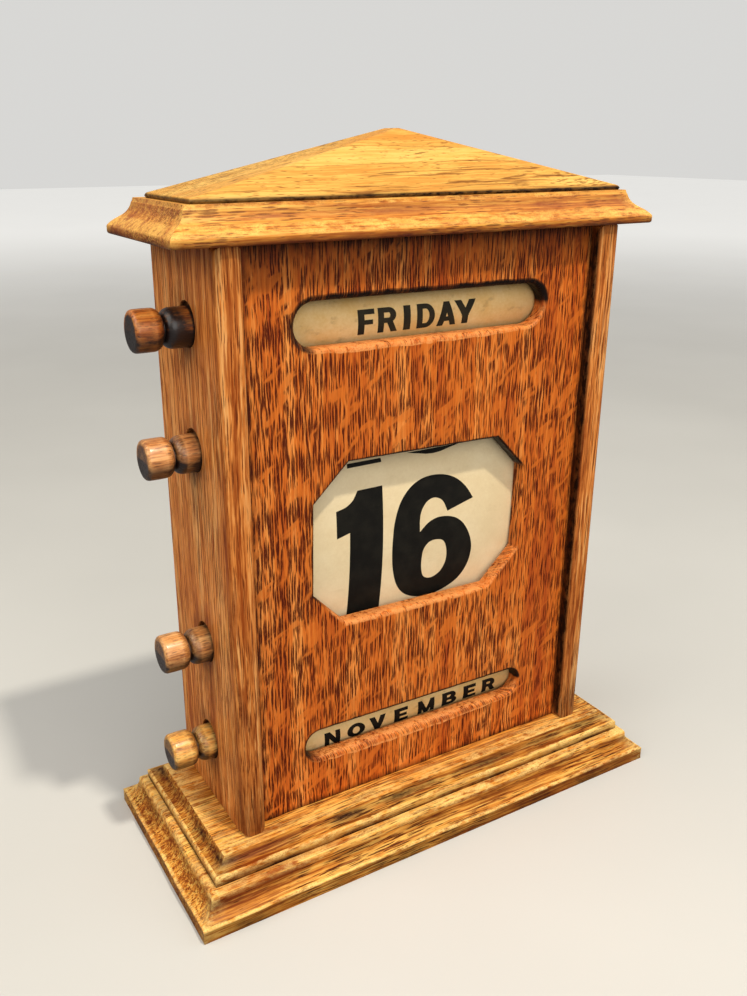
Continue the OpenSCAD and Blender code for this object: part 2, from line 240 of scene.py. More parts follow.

# %% [markdown]
# ## Oak
# Oak is recognised by its open pores: dark dashes along the grain, crowded in the early wood of each
# year's ring. Boards sawn towards the heart also show smooth pale flecks where the rays are cut. The
# old finish is darker where dirt gathers and paler where hands and dusters have rubbed. Those places
# come from two values stored in each mesh: one for wear, which also paints highlights on lips and
# arrises, and one for dirt, which also paints shade in corners, gaps and under overhangs.

# %% Oak pores
GRAIN_TURN = {"x": (0, -90, 0), "z": (0, 0, 0)}
PORE_EDGE = 0.07


def oak_pores(r, wood, clouds, dash, open_, face):
    """Dashes along the grain in two sizes; clouds crowd them in one place and thin them in another"""
    wide, length = dash
    low, high = open_
    size = r.fit(clouds, 0.36, 0.64, low, high)
    found = None
    for number, scale in enumerate((1.0, 0.7)):
        if face:
            spot = r.stretch(r.laid_flat(wood), (1 / (wide * scale), 1 / (length * scale), 0))
        else:
            spot = r.stretch(wood, (1 / (wide * scale),) * 2 + (1 / (length * scale),))
        distance = r.cells(spot, face, 0.8)
        reach = size if number == 0 else r.times(size, 0.66)
        layer = r.fit(distance, r.plus(reach, PORE_EDGE), r.minus(reach, PORE_EDGE))
        found = layer if found is None else r.math("MAXIMUM", found, layer)
    return found


# %% Oak recipe
def oak(name, along, deep, middle, light, pore=(74, 24, 6), ring=4.0, pores=1.0, flecks=0.0,
        dash=(1.4, 12.0), open_=(0.22, 0.36), face=False, shift=(0, 0, 0), gloss=0.08,
        dirt_and_shade=(24, 11, 6), pale_wear_and_highlight=(240, 168, 92), lean=0.0, wave=5.0, shine=0.24, streaks=0.4,
        contour=0.0):
    r = Recipe(name)
    straight = r.space(turn=GRAIN_TURN[along], shift=shift)
    if lean:
        straight = r.turned(straight, (0, lean, 0))
    drift = r.noise(straight, (0.03, 0.03, 0.008), detail=1.5, colour=True)
    wood = r.shifted(straight, drift, (wave, wave, 0))
    wobble = r.noise(straight, (0.25, 0.25, 0.1), detail=2.0, colour=True)
    wood = r.shifted(wood, wobble, (0.7, 0.7, 0))
    # the year's rings, as soft bands across the grain
    bands = r.noise(wood, (1 / ring, 1 / ring, 0.004), detail=3.0, roughness=0.55)
    fibres = r.noise(wood, (1.5, 1.5, 0.05), detail=3.0, roughness=0.6)
    clouds = r.noise(wood, (0.035, 0.035, 0.016), detail=3.0)
    tone = r.plus(r.plus(r.times(bands, 0.75), r.times(fibres, 0.7)), r.times(clouds, 0.45))
    colour = r.ramp(r.fit(tone, 0.68, 1.22), (0.0, deep), (0.5, middle), (1.0, light))
    # narrow darker streaks between the pores
    lines = r.fit(r.noise(wood, (1.0, 1.0, 0.03), detail=1.5), 0.5, 0.64, 0.0, streaks)
    colour = r.mix(lines, colour, deep)
    if contour:
        # thin lines where one year's ring meets the next
        across = r.math("ABSOLUTE", r.minus(bands, 0.52))
        thin = r.times(r.fit(across, 0.006, 0.03, contour, 0.0), r.fit(fibres, 0.35, 0.6))
        colour = r.mix(thin, colour, pore)
    pits = r.times(oak_pores(r, wood, clouds, dash, open_, face), pores)
    fine = r.noise(wood, (4.0, 4.0, 0.4), detail=2.0)
    pits = r.times(pits, r.fit(fine, 0.3, 0.5, 0.62, 1.0))
    # handling: rubbed edges turn pale and lose their pores; the same mark paints highlights on arrises
    patches = r.noise(straight, (0.5, 0.5, 0.22), detail=4.0, roughness=0.65)
    specks = r.noise(straight, (2.0, 2.0, 1.6), detail=2.0)
    worn = r.times(r.attribute("worn"), r.fit(patches, 0.34, 0.6), clamp=True)
    worn = r.times(worn, r.fit(specks, 0.36, 0.56, 0.45, 0.85))
    pits = r.times(pits, r.minus(1.0, worn))
    if flecks:
        rays = r.noise(r.turned(wood, (0, -48, 0)), (0.2, 0.02, 0.075), detail=2.5)
        rays = r.fit(rays, 0.58, 0.66, 0.0, flecks)
        colour = r.mix(r.times(rays, 0.5), colour, middle)
        pits = r.times(pits, r.minus(1.0, r.times(rays, 0.8)))
    colour = r.mix(r.times(pits, 0.95), colour, pore)
    colour = r.mix(worn, colour, pale_wear_and_highlight)
    # dirt gathers in the corners; the same mark paints shade in gaps, recesses and under overhangs
    grime = r.times(r.attribute("grime"), r.fit(patches, 0.2, 0.62, 1.1, 0.78), clamp=True)
    colour = r.mix(grime, colour, dirt_and_shade)
    rough = r.plus(r.fit(patches, 0.3, 0.7, 0.34, 0.5), r.times(pits, 0.25))
    height = r.minus(r.times(fibres, 0.35), r.times(pits, 0.9))
    r.bump(height, 0.2, 0.5)
    return r.surface(colour, rough, Coat_Weight=gloss, Coat_Roughness=0.25, Specular_IOR_Level=shine)


# %% Oak finishes
golden_cornice = oak("golden_oak_front", "x", (150, 70, 22), (204, 126, 44), (236, 174, 78), ring=2.6,
                     pores=0.8, dash=(0.9, 9.0), open_=(0.16, 0.42), pore=(100, 42, 10), streaks=0.6,
                     pale_wear_and_highlight=(250, 194, 96), dirt_and_shade=(84, 30, 10))
golden_plinth = oak("golden_oak_plinth", "x", (140, 60, 12), (228, 148, 56), (255, 204, 104), ring=2.4,
                    pores=1.0, dash=(0.75, 14.0), open_=(0.19, 0.36), pore=(76, 24, 3), streaks=0.85,
                    shift=(40, 13, 60), pale_wear_and_highlight=(255, 216, 132), dirt_and_shade=(44, 14, 4), gloss=0.0,
                    shine=0.1)
golden_hood = oak("golden_oak_hood", "x", (200, 134, 56), (224, 170, 82), (234, 188, 102), ring=6.5,
                  pores=1.0, dash=(0.6, 7.0), open_=(0.14, 0.36), pore=(112, 56, 12), lean=2.0,
                  shift=(11, 70, 5), wave=10.0, streaks=0.4, contour=0.85, shine=0.1, gloss=0.0)
side_wood = oak("side_oak", "z", (150, 66, 18), (230, 140, 64), (255, 190, 116), ring=4.0, pores=1.0,
                dash=(0.72, 24.0), open_=(0.23, 0.38), pore=(98, 34, 8), gloss=0.0, shine=0.12,
                streaks=0.7)
panel_wood = oak("panel_oak", "z", (178, 76, 24), (222, 116, 38), (250, 158, 76), pore=(70, 6, 0),
                 ring=7.0, pores=1.0, flecks=1.0, dash=(1.0, 16.0), open_=(0.25, 0.37), face=True,
                 shift=(17, 5, 40), wave=3.0, gloss=0.04, shine=0.14, streaks=0.35,
                 pale_wear_and_highlight=(236, 156, 88))
back_wood = oak("back_oak", "z", (120, 66, 26), (164, 100, 46), (200, 138, 76), ring=6.0, pores=0.8,
                shift=(60, 31, 9), gloss=0.03, face=True)
print("oak:", [m.name for m in bpy.data.materials if "oak" in m.name])

# %% [markdown]
# ## Shells
# A board is made as rings of points that follow its outline and step round its moulding, from the
# upper face to the lower. Flat faces are filled with small triangles, so that the values for wear
# can change across them. Extra rings close to each edge keep the shading of the flat faces flat.

# %% Small measures
def clip(value):
    """A value kept between 0 and 1"""
    return min(1.0, max(0.0, value))


def near(distance, reach):
    """1 at no distance, falling evenly to 0 at reach"""
    return max(0.0, 1 - distance / reach)


def told(value, index):
    """A value that is the same for a whole ring, or is told point by point"""
    return value(index) if callable(value) else value


def centre_of(points, face):
    return sum((points[i] for i in face), Vector((0, 0))) / len(face)


def inside(u, v, loop):
    """Whether a point lies inside a closed loop of points"""
    hit = False
    for (a, b), (c, d) in zip(loop, loop[1:] + loop[:1]):
        if (b > v) != (d > v) and u < (c - a) * (v - b) / (d - b) + a:
            hit = not hit
    return hit


# %% Shell builder
class Shell:
    """Collects points with their values for wear and painted highlight and for dirt and painted shade,
    and faces, in millimetres
    """

    def __init__(self, place):
        self.place = place
        self.points, self.worn, self.grime, self.faces = [], [], [], []

    def point(self, u, v, depth, worn=0.0, grime=0.0):
        self.points.append(self.place(u, v, depth))
        self.worn.append(worn)
        self.grime.append(grime)
        return len(self.points) - 1

    def ring(self, flat, depth, worn=0.0, grime=0.0):
        return [self.point(u, v, told(depth, i), told(worn, i), told(grime, i))
                for i, (u, v) in enumerate(flat)]

    def bridge(self, above, below):
        for index in range(len(above)):
            after = (index + 1) % len(above)
            self.faces.append((above[index], above[after], below[after], below[index]))

    def stack(self, rows, inwards=False):
        """Rings given as loop, depth, and the values for wear and dirt, which also carry painted
        highlight and shade, each joined to the one before
        """
        rings = [self.ring(*row) for row in rows]
        for above, below in zip(rings, rings[1:]):
            self.bridge(*((below, above) if inwards else (above, below)))
        return rings

    def fill(self, flats, rings, depth, step, tell=lambda u, v: (0.0, 0.0)):
        """Fills the face inside the first loop and outside the others with small triangles"""
        def within(u, v):
            return inside(u, v, flats[0]) and not any(inside(u, v, hole) for hole in flats[1:])

        known = [p for loop in flats for p in loop]
        ids = [i for ring in rings for i in ring]
        edges = []
        for loop in flats:
            edges += loop_edges(len(edges), len(loop))
        (low_u, high_u), (low_v, high_v) = [(min(side), max(side)) for side in zip(*flats[0])]
        rows = int((high_v - low_v) / step)
        columns = int((high_u - low_u) / step)
        inner = []
        for j in range(1, rows):
            for i in range(1, columns):
                u = low_u + (high_u - low_u) * (i + 0.5 * (j % 2)) / columns
                v = low_v + (high_v - low_v) * j / rows
                if within(u, v) and all(math.hypot(u - p[0], v - p[1]) > 0.5 * step for p in known):
                    inner.append((u, v))
        ids += [self.point(u, v, depth, *tell(u, v)) for u, v in inner]
        out = geometry.delaunay_2d_cdt([Vector(p) for p in known + inner], edges, [], 1, 1e-6)
        back = []
        for spot, old in zip(out[0], out[3]):
            back.append(ids[old[0]] if old else self.point(spot.x, spot.y, depth))
        self.faces += [[back[i] for i in face] for face in out[2] if within(*centre_of(out[0], face))]

    def build(self, name, body, material, slot, replaces, sharp=38):
        shape = draft(self.points, self.faces, worn=self.worn, grime=self.grime)
        return settle(shape, name, body, material, slot, replaces, sharp)


def loop_edges(start, count):
    return [(start + i, start + (i + 1) % count) for i in range(count)]


# %% From shell to piece
def draft(points, faces, **marks):
    """A bmesh from points in millimetres, with one value for each point under each mark's name"""
    mesh = bpy.data.meshes.new("draft")
    mesh.from_pydata([Vector(p) * MM for p in points], [], faces)
    for key, values in marks.items():
        mesh.attributes.new(key, "FLOAT", "POINT").data.foreach_set("value", values)
    shape = bmesh.new()
    shape.from_mesh(mesh)
    bpy.data.meshes.remove(mesh)
    return shape


def settle(shape, name, body, material, slot, replaces, sharp=38):
    """Turns a bmesh into a piece with smooth shading, its finish and its place on a moving body"""
    bmesh.ops.recalc_face_normals(shape, faces=shape.faces)
    open_edges = sum(1 for e in shape.edges if len(e.link_faces) != 2)
    mesh = bpy.data.meshes.new(name)
    shape.to_mesh(mesh)
    shape.free()
    mesh.shade_smooth()
    mesh.set_sharp_from_angle(angle=math.radians(sharp))
    mesh.materials.append(material)
    piece = bpy.data.objects.new(name, mesh)
    bpy.context.scene.collection.objects.link(piece)
    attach(piece, body)
    if replaces:
        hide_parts(*replaces)
    print(f"{name}: {len(mesh.polygons)} faces, open edges {open_edges}")
    return piece


# %% Outlines
def offset(loop, distance):
    """A closed loop moved inwards by a distance that may differ from point to point"""
    area = sum(a[0] * b[1] - b[0] * a[1] for a, b in zip(loop, loop[1:] + loop[:1]))
    side = 1 if area > 0 else -1
    moved = []
    for index, here in enumerate(loop):
        before = Vector(here) - Vector(loop[index - 1])
        after = Vector(loop[(index + 1) % len(loop)]) - Vector(here)
        n1 = Vector((-before.y, before.x)).normalized() * side
        n2 = Vector((-after.y, after.x)).normalized() * side
        n = (n1 + n2) / max(0.3, 1 + n1.dot(n2)) * told(distance, index)
        moved.append((here[0] + n.x, here[1] + n.y))
    return moved


def polygon(corners, step):
    """A closed loop through the corners, with each side cut into lengths of about step"""
    loop = []
    for a, b in zip(corners, corners[1:] + corners[:1]):
        count = max(1, round(math.dist(a, b) / step))
        loop += [(a[0] + (b[0] - a[0]) * i / count, a[1] + (b[1] - a[1]) * i / count)
                 for i in range(count)]
    return loop


def rectangle(u0, u1, v0, v1, step):
    return polygon([(u0, v0), (u1, v0), (u1, v1), (u0, v1)], step)


def disc(u, v, radius, count=40):
    turns = [math.tau * i / count for i in range(count)]
    return [(u + radius * math.cos(a), v + radius * math.sin(a)) for a in turns]


def rough(seed, *place, scale=0.08):
    """Smooth chance between 0 and 1 at a place"""
    spot = Vector(place).to_3d() * scale + Vector((seed * 7.3, seed * 3.1, seed * 1.7))
    return clip(0.5 + 0.9 * noise.noise(spot))


print("shell builder ready")

# %% [markdown]
# ## Plinth and cornice
# The plinth is two boards and the cornice a third, each with the same moulding run along its four
# edges and mitred at the corners. Their shapes are given as half-edges: how far in from the lip, at
# what height. A plane and a scraper leave them a little uneven, so the rings wander by a few tenths
# of a millimetre. Lips and arrises are pale with wear and a painted highlight; the coves are darker,
# and painted shadow darkens the gaps under the lips, the boards' feet and the foot of what stands on
# each board.

# %% Mouldings
def hollow(a, b, depth, steps=7):
    """Points from a to b that bow into the wood by depth, or out of it where it is negative"""
    a, b = Vector(a), Vector(b)
    along = b - a
    n = Vector((along.y, -along.x)).normalized()
    return [a + along * (i / steps) + n * 4 * depth * (i / steps) * (1 - i / steps)
            for i in range(steps + 1)]


def soften(line, radius):
    """The same line with each sharp corner turned into a small round"""
    line = [Vector(p) for p in line]
    soft = [line[0]]
    for before, here, after in zip(line, line[1:], line[2:]):
        back, on = before - here, after - here
        if back.length < 1e-6 or on.length < 1e-6:
            continue
        if back.normalized().dot(on.normalized()) < -0.93:
            soft.append(here)
            continue
        one = here + back.normalized() * min(radius, back.length * 0.45)
        two = here + on.normalized() * min(radius, on.length * 0.45)
        soft += [one, one * 0.3 + here * 0.4 + two * 0.3, two]
    return soft + [line[-1]]


# %% Moulded boards
GUARD = 0.6
HOLE_RINGS = ((4.1, 0.0), (3.85, 0.1), (3.82, 0.4), (3.82, 2.8))


def moulded_board(node, edge, material, marks, stands, holes=()):
    """A board with a moulding on its four edges; stands tells where painted shade lies round what is on
    top of it
    """
    low, high = box_mm(node)
    half_w, half_d = round(high.x - low.x, 3) / 2, round(high.y - low.y, 3) / 2
    middle_y, height = (low.y + high.y) / 2, high.z - low.z
    lip = rectangle(-half_w, half_w, middle_y - half_d, middle_y + half_d, 4.0)
    shell = Shell(lambda u, v, w: (u, v, low.z + height - w))

    def inner(inset, depth=0.0, wander=0.0):
        """The lip's loop drawn in evenly, so that the corners stay mitred"""
        loop = []
        for u, v in lip:
            move = inset + wander * (rough(3, u, v, depth, scale=0.05) - 0.5)
            loop.append((u * (half_w - move) / half_w,
                         middle_y + (v - middle_y) * (half_d - move) / half_d))
        return loop

    def corner(i):
        """Paler at the four mitred corners, within a few millimetres: wear and a painted highlight"""
        u, v = lip[i]
        return 0.9 * near(math.hypot(half_w - abs(u), half_d - abs(v - middle_y)), 6.0)

    def painted_foot_shade(u, v):
        """Painted shade on the upper face close to what stands on it"""
        x, y, y_middle, spread = stands
        return 0.0, 0.75 * near(abs(max(abs(u) - x, abs(v - y_middle) - y)), spread)

    profile = soften(edge, 0.35)
    steps = [(max(p[0] for p in profile) + GUARD, 0.0)]
    steps += [(p[0], height - p[1]) for p in reversed(profile)]
    rows = []
    for inset, depth in steps:
        worn, grime = marks(height - depth)
        rows.append((inner(inset, depth, 0.0 if depth in (0.0, height) else 0.45), depth,
                     lambda i, d=depth, k=worn: k * (0.45 + rough(5, *lip[i], d)) + corner(i),
                     lambda i, d=depth, k=grime: k * (0.55 + 0.8 * rough(9, *lip[i], d))))
    rings = shell.stack(rows)
    shell.fill([rows[0][0]], [rings[0]], 0.0, 9.0, painted_foot_shade)
    # a guard ring under the board, then its flat underside with the screw holes let in
    loops = [inner(profile[0][0] + GUARD)]
    ids = [shell.ring(loops[0], height)]
    shell.bridge(rings[-1], ids[0])
    for x, y in holes:
        rows = [(disc(x, y, radius, 24), height - depth, 0.0, 0.3 + 0.2 * depth)
                for radius, depth in HOLE_RINGS]
        rings = shell.stack(rows, inwards=True)
        loops.append(rows[0][0])
        ids.append(rings[0])
        shell.faces.append(rings[-1])
    shell.fill(loops, ids, height, 9.0)
    return shell.build(node + "_dressed", "case", material, "golden_oak", [node])


# %% Edges of the three boards, as how far in from the lip and at what height
LOWER_EDGE = ([(0, 0), (0, 1.3), (0, 5.1), (0, 6)] + hollow((0.5, 6), (6, 11.4), 0.9)
              + hollow((6.2, 13.2), (8, 15), -0.5))
UPPER_EDGE = ([(0, 0), (0, 3.2)] + hollow((0, 3.4), (1.1, 4.4), -0.3)
              + hollow((1.5, 4.4), (6, 7.7), 0.7) + [(6.2, 8.2)])
CORNICE_EDGE = (hollow((0.8, 0), (0, 0.8), -0.2) + hollow((0, 2.9), (3.6, 6.0), -0.25)
                + hollow((3.8, 6.2), (7.6, 11.2), 0.7) + [(7.8, 11.4), (8.2, 12.8)])
SCREWS = [(x, y) for x in (-83.3, 83.3) for y in (-15.0, 21.0)]


# %% Wear with painted highlight, and dirt with painted shade, by height above each board's underside
def lower_marks(z):
    # painted shade along the board's foot
    if z < 1.2:
        return 0.0, 0.75
    # the lip: darker, and pale at its upper arris with wear and a painted highlight
    if z < 6.3:
        return 1.0 * (z > 5.5), 0.62 * (z < 5.5)
    # the cove: darker
    if z < 11.6:
        return 0.0, 0.2 + 0.4 * near(abs(z - 10.6), 3.0)
    # the top arris pale with wear and a painted highlight; below it a painted shadow line
    return (0.7, 0.0) if z > 12.9 else (0.1, 1.0)


def upper_marks(z):
    # painted shadow in the gap under the lip
    if z < 1.4:
        return 0.0, 1.3 - 0.3 * z
    # the lip: pale with wear and a painted highlight
    if z < 4.4:
        return 0.3 + 0.6 * (z > 2.6), 0.0
    # the cove darker; the top arris pale with wear and a painted highlight
    return (0.0, 0.25 + 0.7 * near(abs(z - 6.0), 2)) if z < 7.8 else (0.75, 0.0)


def cornice_marks(z):
    if z < 3.4:
        # the lip: darker below, a little paler above
        return 0.35 * (z > 2.6), 0.8 * (z < 2.5)
    if z < 6.3:
        # the band above the lip: pale with wear and a painted highlight
        return 0.75, 0.0
    # the cove darker; the top edge pale with wear and a painted highlight
    return (0.1, 0.3 * near(abs(z - 9.6), 2.5)) if z < 11.3 else (0.6, 0.0)


# the last figures: half width, half depth and middle of what stands on the board, and the width of the
# painted shade round it
moulded_board("lower_plinth", LOWER_EDGE, golden_plinth, lower_marks, (105.4, 39.9, 0, 2.5), SCREWS)
moulded_board("upper_plinth", UPPER_EDGE, golden_plinth, upper_marks, (88.3, 31.2, 2.0, 1.6))
moulded_board("cornice", CORNICE_EDGE, golden_cornice, cornice_marks, (92.9, 22.0, 2.0, 3.0))

# %% [markdown]
# ## Pediment
# The hipped cap is planed from one thick piece: two long slopes from the sides, two short ones from
# front and back, meeting in a short ridge. Handling has rounded its hips. It sits on the cornice
# with a thin gap along its foot, where the glue line has opened; painted shade with some dirt
# darkens the gap and the upright edge above it, more towards the right.

# %% Pediment
low, high = box_mm("pediment")
SLOPE_Z = low.z + 1.7
RIDGE_IN = 23.0
RIDGE = (low.y + RIDGE_IN, low.y + 33.0)
BROAD = 300
corners = [(low.x, low.y), (high.x, low.y), (high.x, high.y), (low.x, high.y)]
shape = bmesh.new()
foot = [shape.verts.new((x * 0.9955, y - 0.42 * math.copysign(1, y), low.z)) for x, y in corners]
waist = [shape.verts.new((x, y, low.z + 0.75)) for x, y in corners]
eaves = [shape.verts.new((x, y, SLOPE_Z)) for x, y in corners]
front_top, back_top = [shape.verts.new((0, y, high.z)) for y in RIDGE]
shape.faces.new(foot[::-1])
for lower, upper in ((foot, waist), (waist, eaves)):
    for i in range(4):
        shape.faces.new((lower[i], lower[i - 3], upper[i - 3], upper[i]))
shape.faces.new((eaves[0], eaves[1], front_top))
shape.faces.new((eaves[2], eaves[3], back_top))
shape.faces.new((eaves[1], eaves[2], back_top, front_top))
shape.faces.new((eaves[3], eaves[0], front_top, back_top))
soft_edges = [e for e in shape.edges if min(v.co.z for v in e.verts) > SLOPE_Z - 0.01]
bmesh.ops.bevel(shape, geom=soft_edges, offset=0.9, segments=4, profile=0.5, affect="EDGES")
wide = [f for f in shape.faces if f.calc_area() > BROAD]
bmesh.ops.inset_individual(shape, faces=wide, thickness=0.7, use_even_offset=True)
wide = [f for f in shape.faces if f.calc_area() > BROAD]
edges = list({e for f in wide for e in f.edges})
bmesh.ops.subdivide_edges(shape, edges=edges, cuts=14, use_grid_fill=True)
bmesh.ops.triangulate(shape, faces=[f for f in shape.faces if len(f.verts) > 4])
worn_layer = shape.verts.layers.float.new("worn")
grime_layer = shape.verts.layers.float.new("grime")
for v in shape.verts:
    x, y, z = v.co
    slope_front = SLOPE_Z + (high.z - SLOPE_Z) * (y - low.y) / RIDGE_IN
    slope_side = SLOPE_Z + (high.z - SLOPE_Z) * (1 - abs(x) / high.x)
    hip = near(abs(slope_front - slope_side), 0.9)
    v[worn_layer] = (0.75 * hip + 0.4 * (z > high.z - 1.5)) * rough(11, x, y, z, scale=0.15)
    # painted shade with some dirt on the upright edge and in the gap at the foot, darker to the right
    edge_dirt_and_shade = 1.05 + 0.1 * x / high.x
    v[grime_layer] = 1.0 if z < low.z + 0.7 else edge_dirt_and_shade * clip((SLOPE_Z + 0.1 - z) / 0.5)
for v in shape.verts:
    v.co *= MM
settle(shape, "pediment_dressed", "case", golden_hood, "golden_oak", ["pediment"], 30)

# %% [markdown]
# ## Side boards and back
# Each side is a plain upright board whose two front edges are rounded like a nosing. The left one
# has four holes for the knobs, with mouths that the knobs have worn wider and dirty; painted shade
# darkens the holes inside. Painted shade also lies under the cornice and on the inner face behind
# each front edge. The back panel is a thin board let in between the sides and held by eight small
# screws.

# %% Boards with holes
def board(node, place, outline, thick, rims, holes, finish, steps, tell, trim=None, sharp=38):
    """A flat board with shaped edges, and holes through it that step inwards ring by ring"""
    shell = Shell(place)
    rows = []
    for inset, depth, worn, grime in rims:
        flat = offset(outline, inset)
        rows.append((trim(flat, depth) if trim else flat, depth, worn, grime))
    rings = shell.stack(rows)
    front, back = [(rows[0][0], rings[0])], [(rows[-1][0], rings[-1])]
    for rows in holes:
        rings = shell.stack(rows, inwards=True)
        front.append((rows[0][0], rings[0]))
        back.append((rows[-1][0], rings[-1]))
    shell.fill(*zip(*front), 0.0, steps[0], tell)
    shell.fill(*zip(*back), thick, steps[1])
    return shell.build(node + "_dressed", "case", *finish, [node], sharp)


# %% Measures of the side boards and the back
AXES = {j["child"]: Vector(j["pos_m"]) / MM for j in frame["joints"]}
KNOB_BODIES = ["day", "upper_date", "lower_date", "month"]
side_low, side_high = box_mm("right_side")
back_low, back_high = box_mm("back_panel")
SIDE_T = side_high.x - side_low.x
BACK_T = back_high.y - back_low.y
REBATE = side_high.x - back_high.x
NOSE = 2.8
# a knob's hole: how far it stands above the axis, radius, depth, wear, and dirt, with painted shade
# deeper in
KNOB_HOLE = ((0.8, 8.9, 0.0, 0.0, 0.35), (0.8, 8.45, 0.1, 0.5, 0.3), (0.75, 8.15, 0.7, 0.0, 0.85),
             (0.6, 7.95, 2.2, 0.0, 1.0), (0.0, 7.4, 2.4, 0.0, 1.0), (0.0, 7.4, SIDE_T, 0.0, 1.0))
SCREW_HOLE = ((0, 2.42, 0.0, 0.0, 0.3), (0, 2.32, 0.08, 0.2, 0.6), (0, 2.23, 0.4, 0.0, 0.9),
              (0, 1.13, 1.5, 0.0, 1.0), (0, 1.13, BACK_T, 0.0, 1.0))
side_outline = rectangle(side_low.y, side_high.y, side_low.z, side_high.z, 6.0)


def hole(u, v, rows, count=40):
    return [(disc(u, v + up, radius, count), depth, worn, grime)
            for up, radius, depth, worn, grime in rows]


def at_front(i):
    return side_outline[i][0] < side_low.y + 0.01


# %% Edges of the side boards
def side_dirt_and_shade(i, inner_side):
    """Darker along a side board's edges: more towards its foot, painted shade under the cornice at its
    top and on the inner face behind its front edge
    """
    y, z = side_outline[i]
    # darker towards the foot; painted shade under the cornice at the top
    dark = (0.05 + 0.36 * near(z - side_low.z, 30) + 0.3 * near(z - side_low.z, 110)
            + 0.5 * near(side_high.z - z, 16))
    # painted shade on the inner face behind the front edge
    if at_front(i):
        return max(dark, inner_side * (1.0 + 0.25 * rough(4, y, z)))
    return dark * 0.5


def side_rims():
    """Rings of a side board: rounded along its front edge, nearly square along the others"""
    def guard(i):
        return NOSE + 0.4 if at_front(i) else 0.7

    outer, inner = [], []
    for turn in range(0, 91, 15):
        arc = math.radians(turn)

        def distance(i, level=1 - math.sin(arc)):
            return level * (NOSE if at_front(i) else 0.3)

        deep = (1 - math.cos(arc)) * NOSE
        wear = 0.18 * math.sin(2 * arc)
        outer.append((distance, deep, wear))
        inner.insert(0, (distance, SIDE_T - deep, wear))
    # the step of the rebate, which the trim below cuts back to the panel's inner face
    step = [(0.0, REBATE, 0.0), (0.0, REBATE + 0.001, 0.0)]
    rings = [(guard, 0.0, 0.0)] + outer + step + inner + [(guard, SIDE_T, 0.0)]
    # rings close to the inner face get the painted shade behind the front edge
    return [(inset, depth, wear, lambda i, k=clip((depth - SIDE_T + 0.7) / 0.5): side_dirt_and_shade(i, k))
            for inset, depth, wear in rings]


def rebate(flat, depth):
    """The rear edge cut back by the panel's thickness, past the outer part of the board"""
    if depth < REBATE + 0.0005:
        return flat
    return [(u - BACK_T if u > side_high.y - 1 else u, v) for u, v in flat]


# %% Side boards and back panel
def side_face(u, v, has_holes):
    """Wear, dirt round the knobs, and painted shade under the cornice on a side board's outer face;
    darker along its foot
    """
    knob = min(math.hypot(u - AXES[b].y, v - AXES[b].z - 2) for b in KNOB_BODIES)
    dirt_and_shade = 0.4 * near(knob - 8, 7) * has_holes
    # painted shade under the cornice, and darker along the foot
    dirt_and_shade += 0.45 * near(v - side_low.z, 8) + 0.5 * near(side_high.z - v, 10)
    return 0.25 * rough(6, u, v, scale=0.03), min(0.9, dirt_and_shade * (0.4 + rough(7, u, v)))


for node, sign, bodies in (("left_side", -1, KNOB_BODIES), ("right_side", 1, [])):
    board(node, lambda u, v, w: (sign * (side_high.x - w), u, v), side_outline, SIDE_T, side_rims(),
          [hole(AXES[b].y, AXES[b].z, KNOB_HOLE) for b in bodies], (side_wood, "side_oak"), (6.0, 15.0),
          lambda u, v: side_face(u, v, bool(bodies)), rebate)

back_rims = [(0.45, 0.0, 0.0, 0.1), (0.35, 0.0, 0.3, 0.1), (0.12, 0.12, 0.4, 0.1), (0.0, 0.4, 0.0, 0.9),
             (0.0, BACK_T, 0.0, 0.9), (0.6, BACK_T, 0.0, 0.2)]
board("back_panel", lambda u, v, w: (u, back_high.y - w, v),
      rectangle(back_low.x, back_high.x, back_low.z, back_high.z, 12.0), BACK_T, back_rims,
      [hole(x, z, SCREW_HOLE, 20) for x in (-81.3, 81.3) for z in (41.2, 106.4, 171.6, 236.8)],
      (back_wood, "side_oak"), (9.0, 22.5),
      lambda u, v: (0.2 * rough(8, u, v, scale=0.03), 0.25 * rough(12, u, v, scale=0.04)))

# %% [markdown]
# ## Front panel
# The three windows were sawn and cleaned up by hand. Their upper edges stayed crisp; dirt and a
# painted shadow darken them. Their sills were scooped with a rasp, widest left of the middle, and show
# pale raw wood there. The strip of panel under the cornice carries a painted shadow, and the corners
# beside the side boards painted shade.

# %% Window outlines
panel_low, panel_high = box_mm("front_panel")
PANEL_T = panel_high.y - panel_low.y
WINDOW_X = -1.0


def tilted(loop, z, degrees):
    """A window's outline turned clockwise about its middle and put in its place"""
    c, s = math.cos(math.radians(degrees)), math.sin(math.radians(degrees))
    return [(WINDOW_X + u * c + v * s, z - u * s + v * c) for u, v in loop]


def slot_loop(width, height):
    r = height / 2
    half = width / 2 - r
    turns = [math.pi * i / 18 for i in range(19)]
    loop = []
    for side in (1, -1):
        loop += [(side * (half + r * math.sin(a)), -side * r * math.cos(a)) for a in turns]
        loop += [(side * (half - 2 * half * i / 40), side * r) for i in range(1, 40)]
    return loop


def cut_corner_loop(width, height, cut):
    x, y = width / 2, height / 2
    return polygon([(cut - x, -y), (x - cut, -y), (x, cut - y), (x, y - cut), (x - cut, y), (cut - x, y),
                    (-x, y - cut), (-x, cut - y)], 2.2)


# a window's height, outline, size, tilt, roundings of its sill and upper edge, seed, how pale the
# sill is from its outer edge to its inner one, and how dark the slot's lower left corner is
WINDOWS = (
    (225.0, slot_loop(112.8, 16.8), (112.8, 16.8), 0.4, 2.3, 2.3, 21, (1.0, 0.65, 0.8, 1, 1, 1), 1.0),
    (138.0, cut_corner_loop(101.2, 68, 15.0), (101.2, 68), 1.1, 1.7, 0.7, 22,
     (0.55, 0.9, 1, 1, 1, 1), 0.0),
    (50.6, slot_loop(111, 13), (111, 13), 0.7, 3.2, 1.2, 23, (1.0, 0.2, 0.2, 0.6, 1, 1), 0.3))


